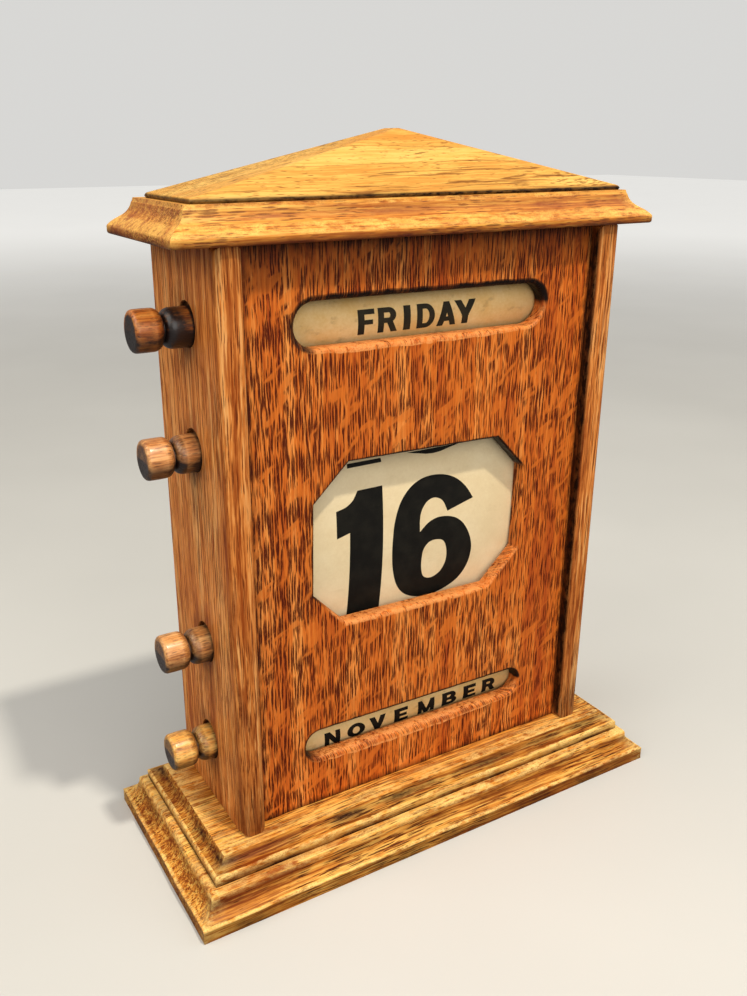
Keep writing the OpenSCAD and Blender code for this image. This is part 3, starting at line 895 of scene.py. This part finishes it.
# %% Window edges
def window_rings(z, loop, size, tilt, sill, upper, seed, facets, corner_dark):
    """Rings of a window from the panel's face inwards"""
    loop = tilted(loop, z, tilt)
    half_w, half_h = size[0] / 2, size[1] / 2
    slot = half_w > 2 * half_h

    def share(i):
        """Place in the window, how much of a sill, how far out from its middle, and chance"""
        across, up = (loop[i][0] - WINDOW_X) / half_w, (loop[i][1] - z) / half_h
        sill_part = clip((-up - 0.3) / 0.5) * clip((across + 0.99) / 0.12)
        if slot:
            sill_part = max(sill_part, 0.9 * clip((across - 0.86) / 0.08) * clip((0.05 - up) / 0.2))
        bulge = math.exp(-((across + 0.1) / 0.75) ** 4)
        return across, up, sill_part, 0.45 + 0.55 * bulge, rough(seed, *loop[i], scale=0.22)

    def radius(i):
        _, _, down, bulge, chips = share(i)
        low_edge = sill * bulge * (0.85 + 0.3 * chips)
        return upper * (0.9 + 0.2 * chips) * (1 - down) + low_edge * down

    def pale(i):
        _, _, down, bulge, chips = share(i)
        return 1.7 * down * bulge * (0.6 + 0.7 * chips)

    # the upper edge: dirt with a painted shadow; the left end: dirt; the lower left corner darker
    def dark(i):
        across, up, down, _, chips = share(i)
        top = clip((up + 0.2) / 0.25) if slot else clip((up - 0.5) / 0.08)
        edge = max(top * (1.02 + 0.1 * across), 0.9 * clip((-across - 0.7) / 0.25)) * (1 - down)
        corner = math.exp(-((across + 0.92) / 0.05) ** 2) * (up < -0.2) * corner_dark
        return min(1.3, max(edge, corner) * (0.95 + 0.4 * chips))

    rows = [(offset(loop, lambda i: -radius(i) - 0.35), 0.0, 0.0, lambda i: 0.15 * dark(i))]
    for turn, facet in zip((0, 18, 36, 54, 72, 90), facets):
        arc = math.radians(turn)
        rows.append((offset(loop, lambda i: -radius(i) * (1 - math.sin(arc))),
                     lambda i, level=1 - math.cos(arc): level * radius(i),
                     lambda i, k=facet: pale(i) * k,
                     lambda i, k=min(1.0, 0.7 + 1.6 * math.sin(arc)): dark(i) * k))
    for depth in (3.4, 4.6, PANEL_T):
        rows.append((loop, depth, lambda i: 0.9 * pale(i),
                     lambda i, d=depth: min(1.3, dark(i) + 0.05 * d)))
    return rows


# %% Front panel
def panel_face(u, v):
    """Painted shade on the panel beside the boards and under the cornice, and darker along its foot"""
    # painted shade in the corners beside the boards
    side = near(panel_high.x - abs(u), 1.2)
    # painted shadow of the cornice
    top = near(panel_high.z - v, 17.0 + 5.0 * rough(1, u, v))
    foot = near(v - panel_low.z, 3.0)
    return 0.0, min(1.1, 1.1 * side + 0.86 * top ** 0.8 + 0.6 * foot)


board("front_panel", lambda u, v, w: (u, panel_low.y + w, v),
      rectangle(panel_low.x, panel_high.x, panel_low.z, panel_high.z, 6.0), PANEL_T,
      # painted shade along the panel's outer edges, where they meet the boards, the cornice and the
      # plinth
      [(0.05, 0.0, 0.0, 0.95), (0.0, 0.3, 0.0, 0.95), (0.0, PANEL_T, 0.0, 0.95)],
      [window_rings(*window) for window in WINDOWS], (panel_wood, "panel_oak"), (3.2, 12.0), panel_face,
      sharp=34)

# %% [markdown]
# ## Knobs
# Four knobs turned from the same hardwood, but worn by different hands: the day knob's barrel is
# almost black, the month knob is still golden. Each is a lathe shape: barrel, dome, narrow waist,
# flared cap and flat end. The waist is where polish and dirt collect, so it is dark and glossy.

# %% Lathe
def turned(node, body, rows, finish, sides, sharp, tube=False):
    """A lathe shape about a body's axis, from rows of x, radius, and the values for wear and for dirt
    with painted shade
    """
    axis = AXES[body]
    shell = Shell(lambda u, v, w: (w, axis.y + u, axis.z + v))
    turns = [math.tau * i / sides for i in range(sides)]
    rings = shell.stack(
        [([(-told(r, i) * math.cos(a), told(r, i) * math.sin(a)) for i, a in enumerate(turns)],
          x, worn, grime) for x, r, worn, grime in rows])
    if tube:
        shell.bridge(rings[-1], rings[0])
    else:
        shell.faces += [rings[0], rings[-1][::-1]]
    return shell.build(node + "_dressed", body, *finish, [node], sharp)


# %% Knob shape
def knob_outline(reach):
    """Distance out from the side's face, radius, wear and dirt, from the hidden end to the cap"""
    waist = reach - 10.8
    dome, flare = waist - 4.0, waist + 3.1
    quarter = [math.radians(90 * i / 8) for i in range(1, 9)]
    out = [(-28.4, 0.4, 0, .2), (-28.4, 5.0, 0, .2), (-10.4, 5.0, 0, .2), (-10.4, 7.25, 0, .2),
           (-10.0, 7.3, 0, .4), (-0.5, 7.3, 0, .9), (0.0, 7.3, 0, .75), (0.5, 7.3, 0, .45),
           (dome - 1.2, 7.3, .1, .05), (dome - 0.5, 7.3, .35, 0), (dome, 7.27, .5, 0)]
    out += [(dome + 3.6 * math.sin(a), 4.3 + 3.0 * math.cos(a), .1, .25 + 1.5 * a / math.pi)
            for a in quarter]
    out += [(waist, 4.25, 0, 1)]
    out += [(flare - 3.1 * math.cos(a), 4.3 + 3.3 * math.sin(a), .1, 1 - 1.8 * a / math.pi)
            for a in quarter]
    out += [(flare + 0.5, 7.62, .55, 0), ((flare + reach - 1.6) / 2, 7.66, .15, .05),
            (reach - 2.0, 7.62, .3, 0)]
    out += [(reach - 1.5 + 1.5 * math.sin(a), 6.1 + 1.5 * math.cos(a), .45, .5 * a / math.pi)
            for a in [math.radians(15 * i) for i in range(7)]]
    out += [(reach - 0.02, 5.6, 0, .8), (reach, 4.0, 0, .95), (reach - 0.06, 2.0, 0, .85),
            (reach - 0.1, 0.3, 0, .9)]
    return out


def painted_underside_shade(part):
    """Painted shade on the side of a knob that is below at rest"""
    return 0.95 * clip((0.1 - math.sin(math.tau * part)) / 0.5)


# %% Knobs
SIDE_FACE = -88.3
# reach out of the side, the wood's three colours, its colour for dirt and painted shade, and how dirty
# it is
KNOBS = {"day": (20.4, (130, 54, 16), (214, 118, 42), (246, 166, 78), (26, 13, 10), 1.4),
         "upper_date": (19.6, (130, 68, 30), (214, 140, 74), (246, 186, 118), (36, 20, 14), 1.0),
         "lower_date": (19.0, (146, 80, 34), (220, 150, 80), (248, 194, 124), (40, 24, 16), 0.95),
         "month": (17.8, (164, 92, 28), (236, 160, 66), (254, 204, 112), (46, 26, 16), 0.85)}
KNOB_SIDES = 72
for order, (body, (reach, deep, middle, light, dirt_and_shade, dirty)) in enumerate(KNOBS.items()):
    wood = oak(body + "_knob_wood", "x", deep, middle, light, ring=2.2, pores=0.55, wave=2.0,
               shift=(order * 9, 3, order * 17), gloss=0.5, dirt_and_shade=dirt_and_shade, pale_wear_and_highlight=light,
               dash=(1.2, 5.0), pore=dirt_and_shade, shine=0.45)
    rows = []
    for x, radius, worn, grime in knob_outline(reach):
        black = 1.15 if body == "day" and 0.5 < x < reach - 12 else 0
        ring_grime = min(1.2, grime * dirty + black)
        # the side below at rest is darkened with painted shade
        rows.append((SIDE_FACE - x, radius, worn,
                     lambda i, g=ring_grime: g + painted_underside_shade(i / KNOB_SIDES)))
    turned(body + "_knob", body, rows, (wood, "knob_oak"), KNOB_SIDES, 40)

# %% [markdown]
# ## Paper
# The two word bands are tan with age and a little stained. The date strip is stiffer and paler, with
# a fine woven texture. A band is a tube round its drum whose ends overlap by a few millimetres. The
# strip bows forward between its rollers, because stiff paper keeps the curl of the coil.

# %% Paper materials
def paper(name, low_colour, high_colour, stain_and_shade, stains, weave=0.5):
    r = Recipe(name)
    flat = r.space()
    clouds = r.noise(flat, (0.045, 0.045, 0.06), detail=4.0, roughness=0.6)
    fibres = r.noise(flat, (0.9, 0.9, 0.9), detail=4.0, roughness=0.7)
    tone = r.plus(r.times(clouds, 0.7), r.times(fibres, 0.3))
    colour = r.ramp(r.fit(tone, 0.32, 0.68), (0.0, low_colour), (1.0, high_colour))
    spots = r.fit(r.noise(flat, (0.11, 0.11, 0.2), detail=5.0, roughness=0.62), 0.56, 0.7)
    colour = r.mix(r.times(spots, stains), colour, stain_and_shade)
    # the grime value darkens the paper towards the stain colour: painted shade towards a band's right
    # end
    edge = r.times(r.attribute("grime"), 0.85)
    colour = r.mix(edge, colour, stain_and_shade)
    threads = r.times(r.math("SINE", r.times(r.axis(flat, 0), 8.0)),
                     r.math("SINE", r.times(r.axis(flat, 2), 8.0)))
    height = r.plus(r.times(threads, weave), r.times(fibres, 0.8))
    r.bump(height, 0.03, 0.5)
    return r.surface(colour, r.fit(fibres, 0.3, 0.7, 0.62, 0.8), Specular_IOR_Level=0.3)


# %% Paper and ink
band_paper = paper("band_paper_aged", (236, 190, 114), (252, 218, 156), (150, 100, 50), 0.35)
strip_paper = paper("strip_paper_cream", (238, 214, 168), (250, 230, 188), (204, 172, 118), 0.14, 0.8)


def printed(name, colour, faded):
    """Printer's ink: nearly black, slightly speckled where the paper's fibres show through"""
    r = Recipe(name)
    flat = r.space()
    specks = r.noise(flat, (3.2, 3.2, 3.2), detail=4.0, roughness=0.7)
    cloud = r.noise(flat, (0.16, 0.16, 0.16), detail=2.0)
    tone = r.plus(r.fit(specks, 0.56, 0.74, 0.0, 0.7), r.fit(cloud, 0.3, 0.8, 0.0, 0.2))
    ink_colour = r.ramp(tone, (0.0, colour), (1.0, faded))
    r.bump(specks, 0.02, 0.4)
    return r.surface(ink_colour, r.fit(specks, 0.3, 0.7, 0.55, 0.72), Specular_IOR_Level=0.16)


date_ink = printed("date_ink", (16, 15, 12), (58, 54, 44))
word_ink = printed("word_ink", (40, 37, 28), (92, 80, 56))

# %% [markdown]
# ## Word bands and coils
# The drums' axes come from the joints, so bands and letters turn with them. The step in a band is
# the glued lap of the paper, and it is placed at the back.

# %% Bands and coils
PAPER_T = 0.2
CORE_R = 11.22
PAPER_SIDES = 120
band_half = box_mm("day_band")[1].x


def half_height(node):
    low, high = box_mm(node)
    return (high.z - low.z) / 2


def wound(node, body, radius, core, finish, lap):
    """A paper tube: its outside starts and ends at a small step at the back"""
    rows = []
    middle_stops = [-band_half + 2 * band_half * i / 16 for i in range(1, 16)]
    for x in [-band_half, 0.15 - band_half] + middle_stops + [band_half - 0.15, band_half]:
        end = 0.06 if abs(x) == band_half else 0.0
        # the paper darkens towards its right end: painted shade; and a little at its left edge
        rows.append((x, lambda i, e=end: radius - e + lap * near((i - 60) % PAPER_SIDES, 8) - lap, 0.0,
                     0.45 * near(band_half - x, 30) + 0.3 * near(band_half + x, 4)))
    rows += [(band_half, core, 0.0, 0.4), (-band_half, core, 0.0, 0.4)]
    return turned(node, body, rows, finish, PAPER_SIDES, 50, tube=True)


BAND_R = {body: half_height(body + "_band") for body in ("day", "month")}
for body, radius in BAND_R.items():
    wound(body + "_band", body, radius, radius - PAPER_T, (band_paper, "band_paper"), 0.05)
for body in ("upper_date", "lower_date"):
    wound(body + "_coil", body, half_height(body + "_coil"), CORE_R, (strip_paper, "strip_paper"), 0.08)

# %% Date strip
strip_low, strip_high = box_mm("date_strip")
STRIP_MID = (strip_low.z + strip_high.z) / 2
HALF_RUN = (strip_high.z - strip_low.z) / 2
BOW = strip_high.y - strip_low.y - PAPER_T
STRIP_R = (HALF_RUN ** 2 + BOW ** 2) / (2 * BOW)
COLUMNS, ROWS = 32, 28


def on_strip(x, run, lift=0.0):
    """The place of a point that lies a distance run up the strip from its middle"""
    angle = run / STRIP_R
    radius = STRIP_R + lift
    return (x, strip_low.y + STRIP_R - radius * math.cos(angle), STRIP_MID + radius * math.sin(angle))


def rim(grid):
    """The points round the edge of a grid, in order"""
    return grid[0] + [row[-1] for row in grid[1:]] + grid[-1][-2::-1] + [row[0] for row in grid[-2:0:-1]]


shell = Shell(on_strip)
full_run = STRIP_R * math.asin(HALF_RUN / STRIP_R) - 0.02
across = [-band_half + 2 * band_half * i / COLUMNS for i in range(COLUMNS + 1)]
grids = [[shell.ring([(x, -full_run + 2 * full_run * j / ROWS) for x in across], lift, 0.0,
                     lambda i: 0.35 * near(min(i, COLUMNS - i), 5)) for j in range(ROWS + 1)]
         for lift in (0.0, -PAPER_T)]
for j in range(ROWS):
    for i in range(COLUMNS):
        for grid in grids:
            shell.faces.append((grid[j][i], grid[j][i + 1], grid[j + 1][i + 1], grid[j + 1][i]))
shell.bridge(rim(grids[0]), rim(grids[1]))
shell.build("date_strip_dressed", "case", strip_paper, "strip_paper", ["date_strip"], 60)

# %% [markdown]
# ## Letters
# The words are set in a bold, plain, slightly condensed capital alphabet. Each letter is drawn from a
# few strokes: bars, slanted bars and bows. The strokes are joined into one outline, cut into narrow
# strips and wrapped round the drum as a very thin layer of ink.

# %% Letter strokes
STEM, THIN = 0.235, 0.185


def bar(x0, y0, x1, y1):
    return [(x0, y0), (x1, y0), (x1, y1), (x0, y1)]


def slant(x0, x1, wide, y0=0.0, y1=1.0):
    """A slanted bar from x0 at the bottom to x1 at the top"""
    return [(x0, y0), (x0 + wide, y0), (x1 + wide, y1), (x1, y1)]


def bow(x, y, rx, ry, start, end, tx=STEM, ty=THIN):
    """A curved stroke: part of a ring about (x, y)"""
    count = max(6, int(abs(end - start) / 10))
    turns = [math.radians(start + (end - start) * i / count) for i in range(count + 1)]
    outer = [(x + rx * math.cos(a), y + ry * math.sin(a)) for a in turns]
    inner = [(x + (rx - tx) * math.cos(a), y + (ry - ty) * math.sin(a)) for a in reversed(turns)]
    return outer + inner


S, T = STEM, THIN
POST = bar(0, 0, S, 1)


def arm(y, reach, thick=T):
    """A level bar from a letter's upright post out to reach"""
    return bar(S, y, reach, y + thick)


# each letter's width and strokes, as parts of its height
LETTERS = {
    "A": (0.90, [slant(0, 0.31, 0.27), slant(0.65, 0.32, 0.25), bar(0.2, 0.2, 0.7, 0.37)]),
    "B": (0.78, [POST, arm(1 - T, 0.44), arm(0.42, 0.46, T * 0.9), arm(0, 0.46),
                 bow(0.44, 0.74, 0.29, 0.26, -90, 90), bow(0.46, 0.295, 0.32, 0.295, -90, 90)]),
    "C": (0.80, [bow(0.42, 0.5, 0.42, 0.5, 42, 318)]),
    "D": (0.80, [POST, arm(1 - T, 0.38), arm(0, 0.38), bow(0.38, 0.5, 0.42, 0.5, -90, 90)]),
    "E": (0.68, [POST, arm(1 - T, 0.66), arm(0.42, 0.6, T * 0.9), arm(0, 0.68)]),
    "F": (0.64, [POST, arm(1 - T, 0.64), arm(0.41, 0.57, T * 0.9)]),
    "G": (0.84, [bow(0.42, 0.5, 0.42, 0.5, 42, 330), bar(0.46, 0.34, 0.84, 0.5),
                 bar(0.63, 0.06, 0.84, 0.5)]),
    "H": (0.80, [POST, bar(0.8 - S, 0, 0.8, 1), arm(0.41, 0.8 - S)]),
    "I": (0.24, [POST]),
    "J": (0.62, [bar(0.62 - S, 0.3, 0.62, 1), bow(0.31, 0.3, 0.31, 0.3, 180, 360)]),
    "L": (0.62, [POST, arm(0, 0.62)]),
    "M": (0.98, [bar(0, 0, 0.21, 1), bar(0.77, 0, 0.98, 1), slant(0.385, 0.0, 0.21),
                 slant(0.385, 0.77, 0.21)]),
    "N": (0.80, [bar(0, 0, 0.21, 1), bar(0.59, 0, 0.8, 1), slant(0.545, 0.0, 0.255)]),
    "O": (0.88, [bow(0.44, 0.5, 0.44, 0.5, 0, 180), bow(0.44, 0.5, 0.44, 0.5, 180, 360)]),
    "P": (0.74, [POST, arm(1 - T, 0.43), arm(0.38, 0.43), bow(0.43, 0.69, 0.31, 0.31, -90, 90)]),
    "R": (0.82, [POST, arm(1 - T, 0.45), arm(0.4, 0.45), bow(0.45, 0.7, 0.31, 0.3, -90, 90),
                 slant(0.57, 0.36, 0.25, 0, 0.45)]),
    "S": (0.74, [bow(0.37, 0.725, 0.34, 0.275, 25, 270), bow(0.37, 0.27, 0.37, 0.27, -155, 90)]),
    "T": (0.76, [bar(0, 1 - T, 0.76, 1), bar(0.38 - S / 2, 0, 0.38 + S / 2, 1)]),
    "U": (0.78, [bar(0, 0.36, S, 1), bar(0.78 - S, 0.36, 0.78, 1),
                 bow(0.39, 0.36, 0.39, 0.36, 180, 360)]),
    "V": (0.88, [slant(0.31, 0, 0.26), slant(0.31, 0.62, 0.26)]),
    "W": (1.22, [slant(0.2, 0, 0.235), slant(0.2, 0.49, 0.235), slant(0.785, 0.495, 0.235),
                 slant(0.785, 0.985, 0.235)]),
    "Y": (0.86, [slant(0.31, 0, 0.26, 0.36, 1), slant(0.29, 0.6, 0.26, 0.36, 1),
                 bar(0.312, 0, 0.312 + S, 0.42)]),
}


# %% Flat shapes
def join(shapes, outside=(), step=2.0):
    """Flat triangles that cover every given shape once, cut so that none is taller than step"""
    points, edges = [], []
    for loop in [*shapes, *outside]:
        edges += loop_edges(len(points), len(loop))
        points += [Vector(p) for p in loop]
    low, high = min(p.y for p in points), max(p.y for p in points)
    left, right = min(p.x for p in points) - 1, max(p.x for p in points) + 1
    for i in range(1, int((high - low) / step) + 1):
        y = low + step * i - 0.37 * step
        edges.append((len(points), len(points) + 1))
        points += [Vector((left, y)), Vector((right, y))]
    out = geometry.delaunay_2d_cdt(points, edges, [], 0, 1e-5)
    kept = []
    for face in out[2]:
        u, v = centre_of(out[0], face)
        covered = any(inside(u, v, loop) for loop in shapes)
        if covered and not any(inside(u, v, loop) for loop in outside):
            kept.append(face)
    used = sorted({i for f in kept for i in f})
    number = {old: new for new, old in enumerate(used)}
    return [tuple(out[0][i]) for i in used], [[number[i] for i in f] for f in kept]


# %% Ink layers
INK_TOP, INK_FOOT = 0.035, -0.06


def ink_layer(name, parts, wrap, body, ink):
    """Closed thin solids from flat parts: wrap places a point at a lift over the paper"""
    verts, faces = [], []
    for flat, shapes in parts:
        count = len(flat)
        start = len(verts)
        verts += [wrap(x, y, INK_TOP) for x, y in flat] + [wrap(x, y, INK_FOOT) for x, y in flat]
        sides = {}
        for face in shapes:
            faces.append([start + i for i in face])
            faces.append([start + count + i for i in reversed(face)])
            for a, b in zip(face, face[1:] + face[:1]):
                sides[(a, b)] = True
        for a, b in sides:
            if (b, a) not in sides:
                faces.append([start + b, start + a, start + count + a, start + count + b])
    return settle(draft(verts, faces), name, body, ink, None, None, 30)


# %% Letters of a word
def word_parts(word, style, run, spans):
    """Flat letters of a word: each set between the two limits in spans, or else evenly spaced"""
    height = style["height"]
    if spans is None:
        widths = [LETTERS[c][0] * height * style["stretch"](word) for c in word]
        x = style["middle"] - (sum(widths) + style["gap"] * (len(word) - 1)) / 2
        spans = []
        for width in widths:
            spans.append((x, x + width))
            x += width + style["gap"]
    parts = []
    for c, (left, right) in zip(word, spans):
        wide = (right - left) / LETTERS[c][0]
        shapes = [[(left + u * wide - style["slope"] * (v - 0.5) * height, run + (v - 0.5) * height)
                   for u, v in stroke] for stroke in LETTERS[c][1]]
        parts.append(join([offset(loop, -style["swell"]) for loop in shapes], step=1.3))
    return parts


# %% Words round a band
def print_band(body, words, rest, first_spans, ink, **style):
    """Words round a band, with the first one in the window when the band stands at rest"""
    radius, axis = BAND_R[body], AXES[body]

    def wrap(x, run, lift):
        angle = run / radius
        r = radius + lift
        return x, axis.y - r * math.cos(angle), axis.z + r * math.sin(angle)

    for order, word in enumerate(words):
        run = radius * (math.radians(rest) + order * math.tau / len(words))
        parts = word_parts(word, style, run, None if order else first_spans)
        ink_layer(f"{body}_word_{word.lower()}", parts, wrap, body, ink)


# %% Days and months
DAYS = ["FRIDAY", "THURSDAY", "WEDNESDAY", "TUESDAY", "MONDAY", "SUNDAY", "SATURDAY"]
FRIDAY = [(-28.0, -21.0), (-19.3, -10.9), (-7.9, -4.9), (-1.8, 6.2), (7.6, 16.4), (15.9, 25.9)]
print_band("day", DAYS, -5.3, FRIDAY, word_ink, middle=-0.75, height=9.4, gap=2.2, slope=0.06,
           swell=0.1, stretch=lambda word: 1.14 if len(word) < 9 else 0.98)
MONTHS = ["NOVEMBER", "OCTOBER", "SEPTEMBER", "AUGUST", "JULY", "JUNE", "MAY", "APRIL", "MARCH",
          "FEBRUARY", "JANUARY", "DECEMBER"]
NOVEMBER = [(-44.2, -37.0), (-33.1, -24.6), (-21.8, -14.0), (-9.0, -2.1), (3.6, 12.1), (16.8, 24.5),
            (28.8, 35.6), (39.6, 46.9)]
print_band("month", MONTHS, -11.0, NOVEMBER, date_ink, middle=1.9, height=7.3, gap=4.2, slope=0.1,
           swell=0.2, stretch=lambda word: 1.2)

# %% [markdown]
# ## Date numerals
# The date is printed in heavy figures 56 mm high, drawn here from their outlines as they lie on the
# flat strip. The foot of the date before it shows at the top of the window.

# %% Smooth outlines
def smooth_loop(points, steps=5):
    """A closed curve through the given points, where a third value of 1 marks a sharp corner"""
    count = len(points)
    out = []
    for i in range(count):
        p0, p1, p2, p3 = [Vector(points[(i + k) % count][:2]) for k in (-1, 0, 1, 2)]
        sharp1, sharp2 = [len(points[(i + k) % count]) > 2 for k in (0, 1)]
        t1 = (p2 - p1) if sharp1 else (p2 - p0) / 2
        t2 = (p2 - p1) if sharp2 else (p3 - p1) / 2
        if sharp1 and sharp2:
            out.append(tuple(p1))
            continue
        for k in range(steps):
            t = k / steps
            h1, h2 = 2 * t ** 3 - 3 * t ** 2 + 1, t ** 3 - 2 * t ** 2 + t
            h3, h4 = 3 * t ** 2 - 2 * t ** 3, t ** 3 - t ** 2
            out.append(tuple(p1 * h1 + t1 * h2 + p2 * h3 + t2 * h4))
    return out


# %% Date numerals
ONE = smooth_loop([(-16.6, 19.4, 1), (-16.35, -36.6, 1), (-32.05, -36.7, 1), (-32.05, 2.4, 1),
                   (-38.0, 0.9, 1), (-38.1, 12.4, 1), (-33.6, 13.5), (-30.4, 15.7), (-28.1, 19.3, 1)])
SIX = smooth_loop([(28.5, 6.0, 1), (24.7, 11.6), (19.9, 16.0), (14.2, 18.6), (8.1, 19.5), (2.0, 18.8),
                   (-3.6, 15.9), (-8.1, 10.6), (-10.8, 3.2), (-11.7, -4.3), (-11.8, -12.5),
                   (-10.8, -20.2), (-8.4, -27.3), (-4.2, -32.6), (2.0, -35.8), (8.9, -36.8),
                   (16.4, -35.6), (23.5, -32.0), (27.9, -25.8), (29.3, -18.3), (28.0, -12.0),
                   (24.8, -6.0), (20.8, -2.1), (15.9, 0.0), (10.2, 0.5), (5.5, -1.1), (1.6, -4.4, 1),
                   (1.4, 0.7), (2.1, 4.7), (4.1, 7.9), (6.9, 9.5), (10.0, 9.3), (13.0, 7.2),
                   (15.3, 2.5, 1)])
SIX_EYE = smooth_loop([(10.4, -9.6), (13.9, -11.0), (15.8, -15.2), (16.0, -20.8), (13.9, -25.4),
                       (10.3, -27.6), (7.1, -27.5), (4.6, -25.6), (3.4, -21.2), (3.3, -16.2),
                       (4.1, -12.5), (6.6, -10.0)])
PITCH = 65.6
TOP = 30.7
# the feet of the date above: a 1, and a 5 cut off where the window hides it
ONE_ABOVE = [(-16.6, TOP), (-16.35, PITCH - 36.6), (-32.05, PITCH - 36.7), (-32.05, TOP)]
FIVE_FOOT = [(x, min(y, TOP)) for x, y in bow(8.6, PITCH - 20.4, 21.0, 16.6, 180, 360, 21.0, 16.6)]
FIVE_FOOT = [p for p in FIVE_FOOT if p[1] < TOP] + [(21.5, TOP), (-4.3, TOP)]
date_parts = [join([ONE]), join([SIX], [SIX_EYE]), join([ONE_ABOVE]), join([FIVE_FOOT])]
ink_layer("date_figures", date_parts, on_strip, "case", date_ink)
print("date figures", len(date_parts))

# %% [markdown]
# ## Hidden pieces
# The rollers, dowels and glue blocks are bare beech and keep their CAD shapes. Pivots and long screws
# are drawn steel, the small screws at the back dull brass. They get their own materials, so that
# nothing is plain where a window, a hole or the back lets them be seen.

# %% Hidden pieces
def bare_beech(name, along):
    r = Recipe(name)
    wood = r.space(turn=GRAIN_TURN[along])
    bands = r.noise(wood, (0.3, 0.3, 0.004), detail=3.0)
    flecks = r.cells(r.stretch(wood, (1.4, 1.4, 0.5)))
    colour = r.ramp(bands, (0.3, (176, 128, 84)), (0.7, (216, 174, 126)))
    colour = r.mix(r.fit(flecks, 0.24, 0.1, 0.0, 0.6), colour, (138, 92, 56))
    fine = r.noise(wood, (3.0, 3.0, 0.1), detail=3.0)
    r.bump(fine, 0.1, 0.4)
    return r.surface(colour, r.fit(fine, 0.3, 0.7, 0.55, 0.72), Specular_IOR_Level=0.35)


def metal(name, dark, light, low, high):
    r = Recipe(name)
    spot = r.space()
    scratches = r.noise(spot, (0.6, 6.0, 6.0), detail=4.0)
    tarnish = r.noise(spot, (0.5, 0.5, 0.5), detail=4.0, roughness=0.65)
    colour = r.ramp(tarnish, (0.35, dark), (0.65, light))
    r.bump(scratches, 0.02, 0.4)
    return r.surface(colour, r.fit(scratches, 0.3, 0.7, low, high), Metallic=1.0)


beech_x = bare_beech("bare_beech_rollers", "x")
beech_z = bare_beech("bare_beech_upright", "z")
steel = metal("drawn_steel", (120, 118, 116), (176, 176, 178), 0.28, 0.46)
brass = metal("dull_brass", (126, 92, 42), (196, 154, 78), 0.3, 0.5)
FINISH = {"roller": beech_x, "blocks": beech_z, "dowels": beech_z, "pivot": steel,
          "base_screws": steel, "back_screws": brass}
for name, node in frame["nodes"].items():
    for ending, material in FINISH.items():
        if name.endswith(ending):
            node.data.materials.clear()
            node.data.materials.append(material)
            node.data.shade_smooth()
            node.data.set_sharp_from_angle(angle=math.radians(32))
            print(name, "->", material.name)

# %% [markdown]
# ## Studio
# A wide pale floor, a pale surround and soft light. The key lamp stands high in front, so the
# cornice and the windows' edges throw the short shadows of the photograph. Three wide weak lamps fill
# from the front, the right and the left. The surround and the floor are pale to the camera only: what
# they throw on to the wood is kept low, so that its colours stay deep.

# %% Floor
SURROUND = (250, 249, 246)


def floor_material():
    r = Recipe("pale_floor")
    flat = r.space()
    soft = r.noise(flat, (0.004, 0.004, 0.004), detail=3.0)
    fine = r.noise(flat, (0.6, 0.6, 0.6), detail=3.0)
    # the camera sees a pale floor; what it throws back on to the wood is that of a darker one
    seen = r.node("LightPath").outputs["Is Camera Ray"]
    pale = r.ramp(soft, (0.3, (206, 205, 201)), (0.7, (212, 211, 207)))
    colour = r.mix(seen, (118, 118, 120), pale)
    r.bump(fine, 0.05, 0.2)
    # far from the calendar the floor brightens until it meets the surround, for the camera only
    away = r.node("VectorMath", operation="LENGTH")
    r.plug(away.inputs[0], flat)
    glow = r.times(r.fit(away.outputs["Value"], 500, 3200, 0.0, 0.62), seen)
    r.plug(r.shader.inputs["Emission Strength"], glow)
    return r.surface(colour, r.fit(fine, 0.3, 0.7, 0.6, 0.72), Specular_IOR_Level=0.2,
                     Emission_Color=(*rgb(*SURROUND), 1))


FLOOR_HALF = 6.0
floor_mesh = bpy.data.meshes.new("floor")
floor_mesh.from_pydata([(u * FLOOR_HALF, v * FLOOR_HALF, 0)
                        for u, v in ((-1, -1), (1, -1), (1, 1), (-1, 1))], [], [(0, 1, 2, 3)])
floor_mesh.materials.append(floor_material())
floor = bpy.data.objects.new("floor", floor_mesh)
bpy.context.scene.collection.objects.link(floor)

# %% Surround
sky = Recipe("studio", "worlds", "Background")
rays = sky.node("LightPath").outputs
seen = sky.math("MAXIMUM", rays["Is Camera Ray"], rays["Is Transmission Ray"])
sky.plug(sky.shader.inputs["Strength"], sky.fit(seen, 0.0, 1.0, 0.3, 0.72))
sky.shader.inputs["Color"].default_value = (*rgb(*SURROUND), 1)
bpy.context.scene.world = sky.material
bpy.context.scene.view_settings.view_transform = "Standard"


# %% Lamps
def lamp(name, place, size, watts, colour):
    data = bpy.data.lights.new(name, "AREA")
    data.shape = "DISK"
    data.size = size
    data.energy = watts
    data.color = colour
    light = bpy.data.objects.new(name, data)
    light.location = place
    light.rotation_euler = (AIM - Vector(place)).to_track_quat("-Z", "Y").to_euler()
    bpy.context.scene.collection.objects.link(light)


AIM = Vector((0, 0, 0.13))
KEY_WAY = Vector((0.19, -1.0, 2.3)).normalized()
lamp("key", AIM + KEY_WAY * 1.3, 0.07, 11, (1.0, 0.93, 0.8))
lamp("front_fill", (-0.3, -1.7, 1.0), 1.8, 15.5, (1.0, 0.97, 0.93))
lamp("right_fill", (1.6, -0.5, 1.2), 1.8, 6, (1.0, 0.98, 0.95))
lamp("left_fill", (-1.5, -0.1, 1.45), 2.2, 24, (1.0, 0.95, 0.86))
print("studio ready")
